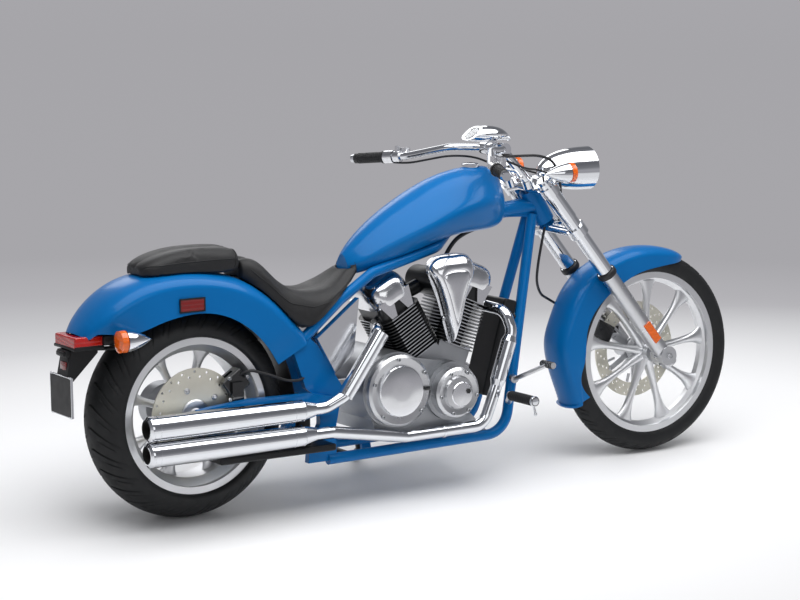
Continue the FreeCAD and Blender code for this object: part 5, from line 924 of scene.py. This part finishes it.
def drop_ring(sheet, scale, y, steps=6):
    """Closed ring of edges that follows the drop, at a share of its size."""
    points = [
        Vector((drop_x + drop_half * across * scale, y,
                drop_z + drop_high * (drop_middle + (up - drop_middle) * scale)))
        for across, up in drop_line]
    ring = []
    for number in range(len(points)):
        four = [points[(number + shift) % len(points)] for shift in (-1, 0, 1, 2)]
        ring += [sheet.verts.new(smooth_between(*four, step / steps)) for step in range(steps)]
    return [sheet.edges.new((ring[k], ring[k - 1])) for k in range(len(ring))]


def drop_shell(rings):
    """Skin over a row of (scale, y) rings, closed at both ends."""
    sheet = bmesh.new()
    loops = [drop_ring(sheet, scale, y) for scale, y in rings]
    for first, second in zip(loops, loops[1:]):
        bmesh.ops.bridge_loops(sheet, edges=first + second)
    for end in (loops[0], loops[-1]):
        bmesh.ops.contextual_create(sheet, geom=end)
    return sheet


flange = drop_shell([(0.93, -130), (1.045, -130), (1.055, -131), (1.045, -132.6), (0.93, -132.6)])
piece("drop_cover_flange", flange, buffed_alloy, "chassis")
crown = drop_shell([
    (0.60, -181.5), (0.595, -182.6), (0.50, -184.6), (0.36, -186.2), (0.18, -187.2), (0.05, -187.5)])
piece("drop_cover_crown", crown, buffed_alloy, "chassis", sharp=60)
cover_bolts = bmesh.new()
for x, z in ((820, 712), (874, 560)):
    spun(cover_bolts, [(0, 0), (0, 8), (9, 8), (11, 6), (11, 0)], Vector((x, -133, z)), -ACROSS, steps=24)
    cap_screw(cover_bolts, Vector((x, -143, z)), -ACROSS, 4.5, 4)
piece("drop_cover_bolts", cover_bolts, zinc_steel, "chassis")

# %% [markdown]
# ## Finishes on the solids
# Every solid piece keeps its shape and takes one finish in its own material slot.

# %% Give each solid its finish
finishes = {
    blue_paint: ["fuel_tank", "rear_fender", "front_fender", "frame_backbone", "frame_cradles", "frame_rails",
                 "frame_plates", "swingarm_right"],
    chrome: ["mufflers", "exhaust_headers", "headlamp_shell", "handlebar", "risers", "filler_cap",
             "front_signal_bodies", "rear_signal_bodies", "meter", "upper_yoke", "lower_yoke", "fork_tubes"],
    brushed_alloy: ["fork_sliders", "peg_mounts", "foot_levers", "front_axle", "swing_shafts",
                    "right_engine_covers", "left_engine_covers"],
    buffed_alloy: ["bar_controls", "head_covers", "air_cover", "side_covers"],
    wheel_alloy: ["rear_rim", "front_rim"],
    raw_cast: ["crankcase", "shaft_drive"],
    black_coat: ["muffler_bracket", "rear_subframe", "radiator", "air_duct", "plate_bracket", "side_stand"],
    black_gloss: ["rear_caliper", "front_caliper"],
    disc_steel: ["rear_disc", "front_disc"],
    tyre_rubber: ["rear_tyre", "front_tyre"],
    moulded_rubber: ["grips", "foot_pegs", "frame_hoses", "fork_hoses"],
    black_plastic: ["number_plate"],
    seat_leather: ["rider_seat", "passenger_pad"],
    amber_lens: ["front_amber_lenses", "rear_signal_lenses"],
    red_lens: ["tail_lamp"],
    dark_lens: ["fender_reflectors"],
    clear_lens: ["headlamp_lens"],
    fin_finish: ["cylinders"],
}
for material, names in finishes.items():
    for name in names:
        mesh = nodes[name].data
        mesh.materials.clear()
        mesh.materials.append(material)
print(sum(len(names) for names in finishes.values()), "of", len(nodes), "solids have a finish")

# %% [markdown]
# ## Floor and light
# The studio floor has a wide pool of white that reaches in front of the machine and sinks to grey behind it.
# This pool is painted light: the far part glows in its own colour, so no lamp has to reach it, and the near
# part is a plain diffuse surface that takes the machine's soft shadow. Three large soft lamps light from
# above and both sides.

# %% Floor
def looked_at(tree):
    """Socket that is one for the camera and for what mirrors and glass show it, and zero for other light."""
    ray = add(tree, "ShaderNodeLightPath")
    seen = add(tree, "ShaderNodeMath", {
        0: ray.outputs["Is Camera Ray"], 1: ray.outputs["Is Glossy Ray"]}, operation="ADD", use_clamp=True)
    seen = add(tree, "ShaderNodeMath", {
        0: seen.outputs[0], 1: ray.outputs["Is Transmission Ray"]}, operation="ADD", use_clamp=True)
    return seen.outputs[0]


floor_radius, floor_drop = 150.0, 0.0005
sheet = bmesh.new()
bmesh.ops.create_circle(sheet, cap_ends=True, segments=96, radius=floor_radius)
bmesh.ops.translate(sheet, verts=sheet.verts, vec=(0, 0, -floor_drop))
floor = shown("floor", mesh_from("floor", sheet))
studio = bpy.data.materials.new("studio_floor")
studio.use_nodes = True
tree = studio.node_tree
tree.nodes.clear()
spot = add(tree, "ShaderNodeTexCoord").outputs["Object"]
pool_shift, pool_reach, shadow_reach, fade_end = 2.5, 20.0, 0.8, 1.6
near = add(tree, "ShaderNodeMapping", {"Vector": spot, "Rotation": (0, 0, yaw), "Scale": (0.4, 1.0, 1.0)})
pool = add(tree, "ShaderNodeMapping", {
    "Vector": spot, "Location": (0, pool_shift, 0), "Rotation": (0, 0, yaw), "Scale": (0.6, 1.0, 1.0)})
reach = add(tree, "ShaderNodeVectorMath", {0: near.outputs[0]}, operation="LENGTH").outputs["Value"]
depth = add(tree, "ShaderNodeVectorMath", {0: pool.outputs[0]}, operation="LENGTH").outputs["Value"]
# The ramp paints that pool of light: near white in its middle, sinking to grey further out.
tone = add(tree, "ShaderNodeValToRGB", {
    0: add(tree, "ShaderNodeMath", {0: depth, 1: pool_reach}, operation="DIVIDE", use_clamp=True).outputs[0]})
ramp = tone.color_ramp
ramp.elements[0].color = light("#f8f8f9")
for stop, shade in ((0.15, "#efeff1"), (0.168, "#e7e7e9"), (0.185, "#dadadd"), (0.205, "#c6c6c9"),
                    (0.225, "#b3b2b6"), (0.255, "#a7a6aa"), (0.52, "#a6a5a9")):
    ramp.elements.new(stop).color = light(shade)
ramp.elements[-1].color = light("#abaaaf")
paper = add(tree, "ShaderNodeBsdfDiffuse", {"Color": light("#f4f4f5")})
glow = add(tree, "ShaderNodeEmission", {"Color": tone.outputs[0], "Strength": 1.0})
far = add(tree, "ShaderNodeMapRange", {"Value": reach, "From Min": shadow_reach, "From Max": fade_end})
share = add(tree, "ShaderNodeMath", {0: far.outputs[0], 1: looked_at(tree)}, operation="MULTIPLY")
mixed = add(tree, "ShaderNodeMixShader", {0: share.outputs[0], 1: paper.outputs[0], 2: glow.outputs[0]})
add(tree, "ShaderNodeOutputMaterial", {"Surface": mixed.outputs[0]})
floor.data.materials.append(studio)

# %% [markdown]
# The sky is a soft grey, lightest near the ground. What the camera and the chrome see of it is one tone, and
# the light that it gives is another, weaker one, so either can change alone.

# %% World and lamps
world = bpy.data.worlds.new("studio")
bpy.context.scene.world = world
world.use_nodes = True
tree = world.node_tree
tree.nodes.clear()
way = add(tree, "ShaderNodeTexCoord").outputs["Generated"]
rise = add(tree, "ShaderNodeSeparateXYZ", {0: way}).outputs["Z"]
sky = add(tree, "ShaderNodeValToRGB", {
    0: add(tree, "ShaderNodeMapRange", {"Value": rise, "From Min": -0.1, "From Max": 1.0}).outputs[0]})
sky.color_ramp.elements[0].color = light("#aeadb2")
sky.color_ramp.elements[1].color = light("#8d8d92")
for stop, shade in ((0.14, "#a9a8ad"), (0.28, "#828387"), (0.55, "#6c6d72")):
    sky.color_ramp.elements.new(stop).color = light(shade)
seen_sky = add(tree, "ShaderNodeBackground", {"Color": sky.outputs[0], "Strength": 1.0})
fill = add(tree, "ShaderNodeBackground", {"Color": light("#c4c6ca"), "Strength": 0.42})
mixed = add(tree, "ShaderNodeMixShader", {0: looked_at(tree), 1: fill.outputs[0], 2: seen_sky.outputs[0]})
add(tree, "ShaderNodeOutputWorld", {"Surface": mixed.outputs[0]})


def soft_lamp(name, place, aim_at, width, depth, power):
    """Large rectangular lamp that faces a point."""
    lamp = bpy.data.lights.new(name, "AREA")
    lamp.shape = "RECTANGLE"
    lamp.size, lamp.size_y, lamp.energy = width, depth, power
    facing = (Vector(aim_at) - Vector(place)).to_track_quat("-Z", "Y")
    shown(name, lamp).matrix_world = Matrix.Translation(place) @ facing.to_matrix().to_4x4()


soft_lamp("top_light", (0.0, -0.5, 3.4), (0, 0, 0.4), 5.4, 3.0, 165)
soft_lamp("right_light", (-1.2, -5.4, 3.0), (0, 0, 0.5), 4.4, 2.4, 36)
soft_lamp("left_light", (1.4, 4.8, 2.8), (0, 0, 0.5), 4.0, 2.0, 60)
bpy.context.scene.view_settings.view_transform = "Standard"
print("floor, sky and three lamps")
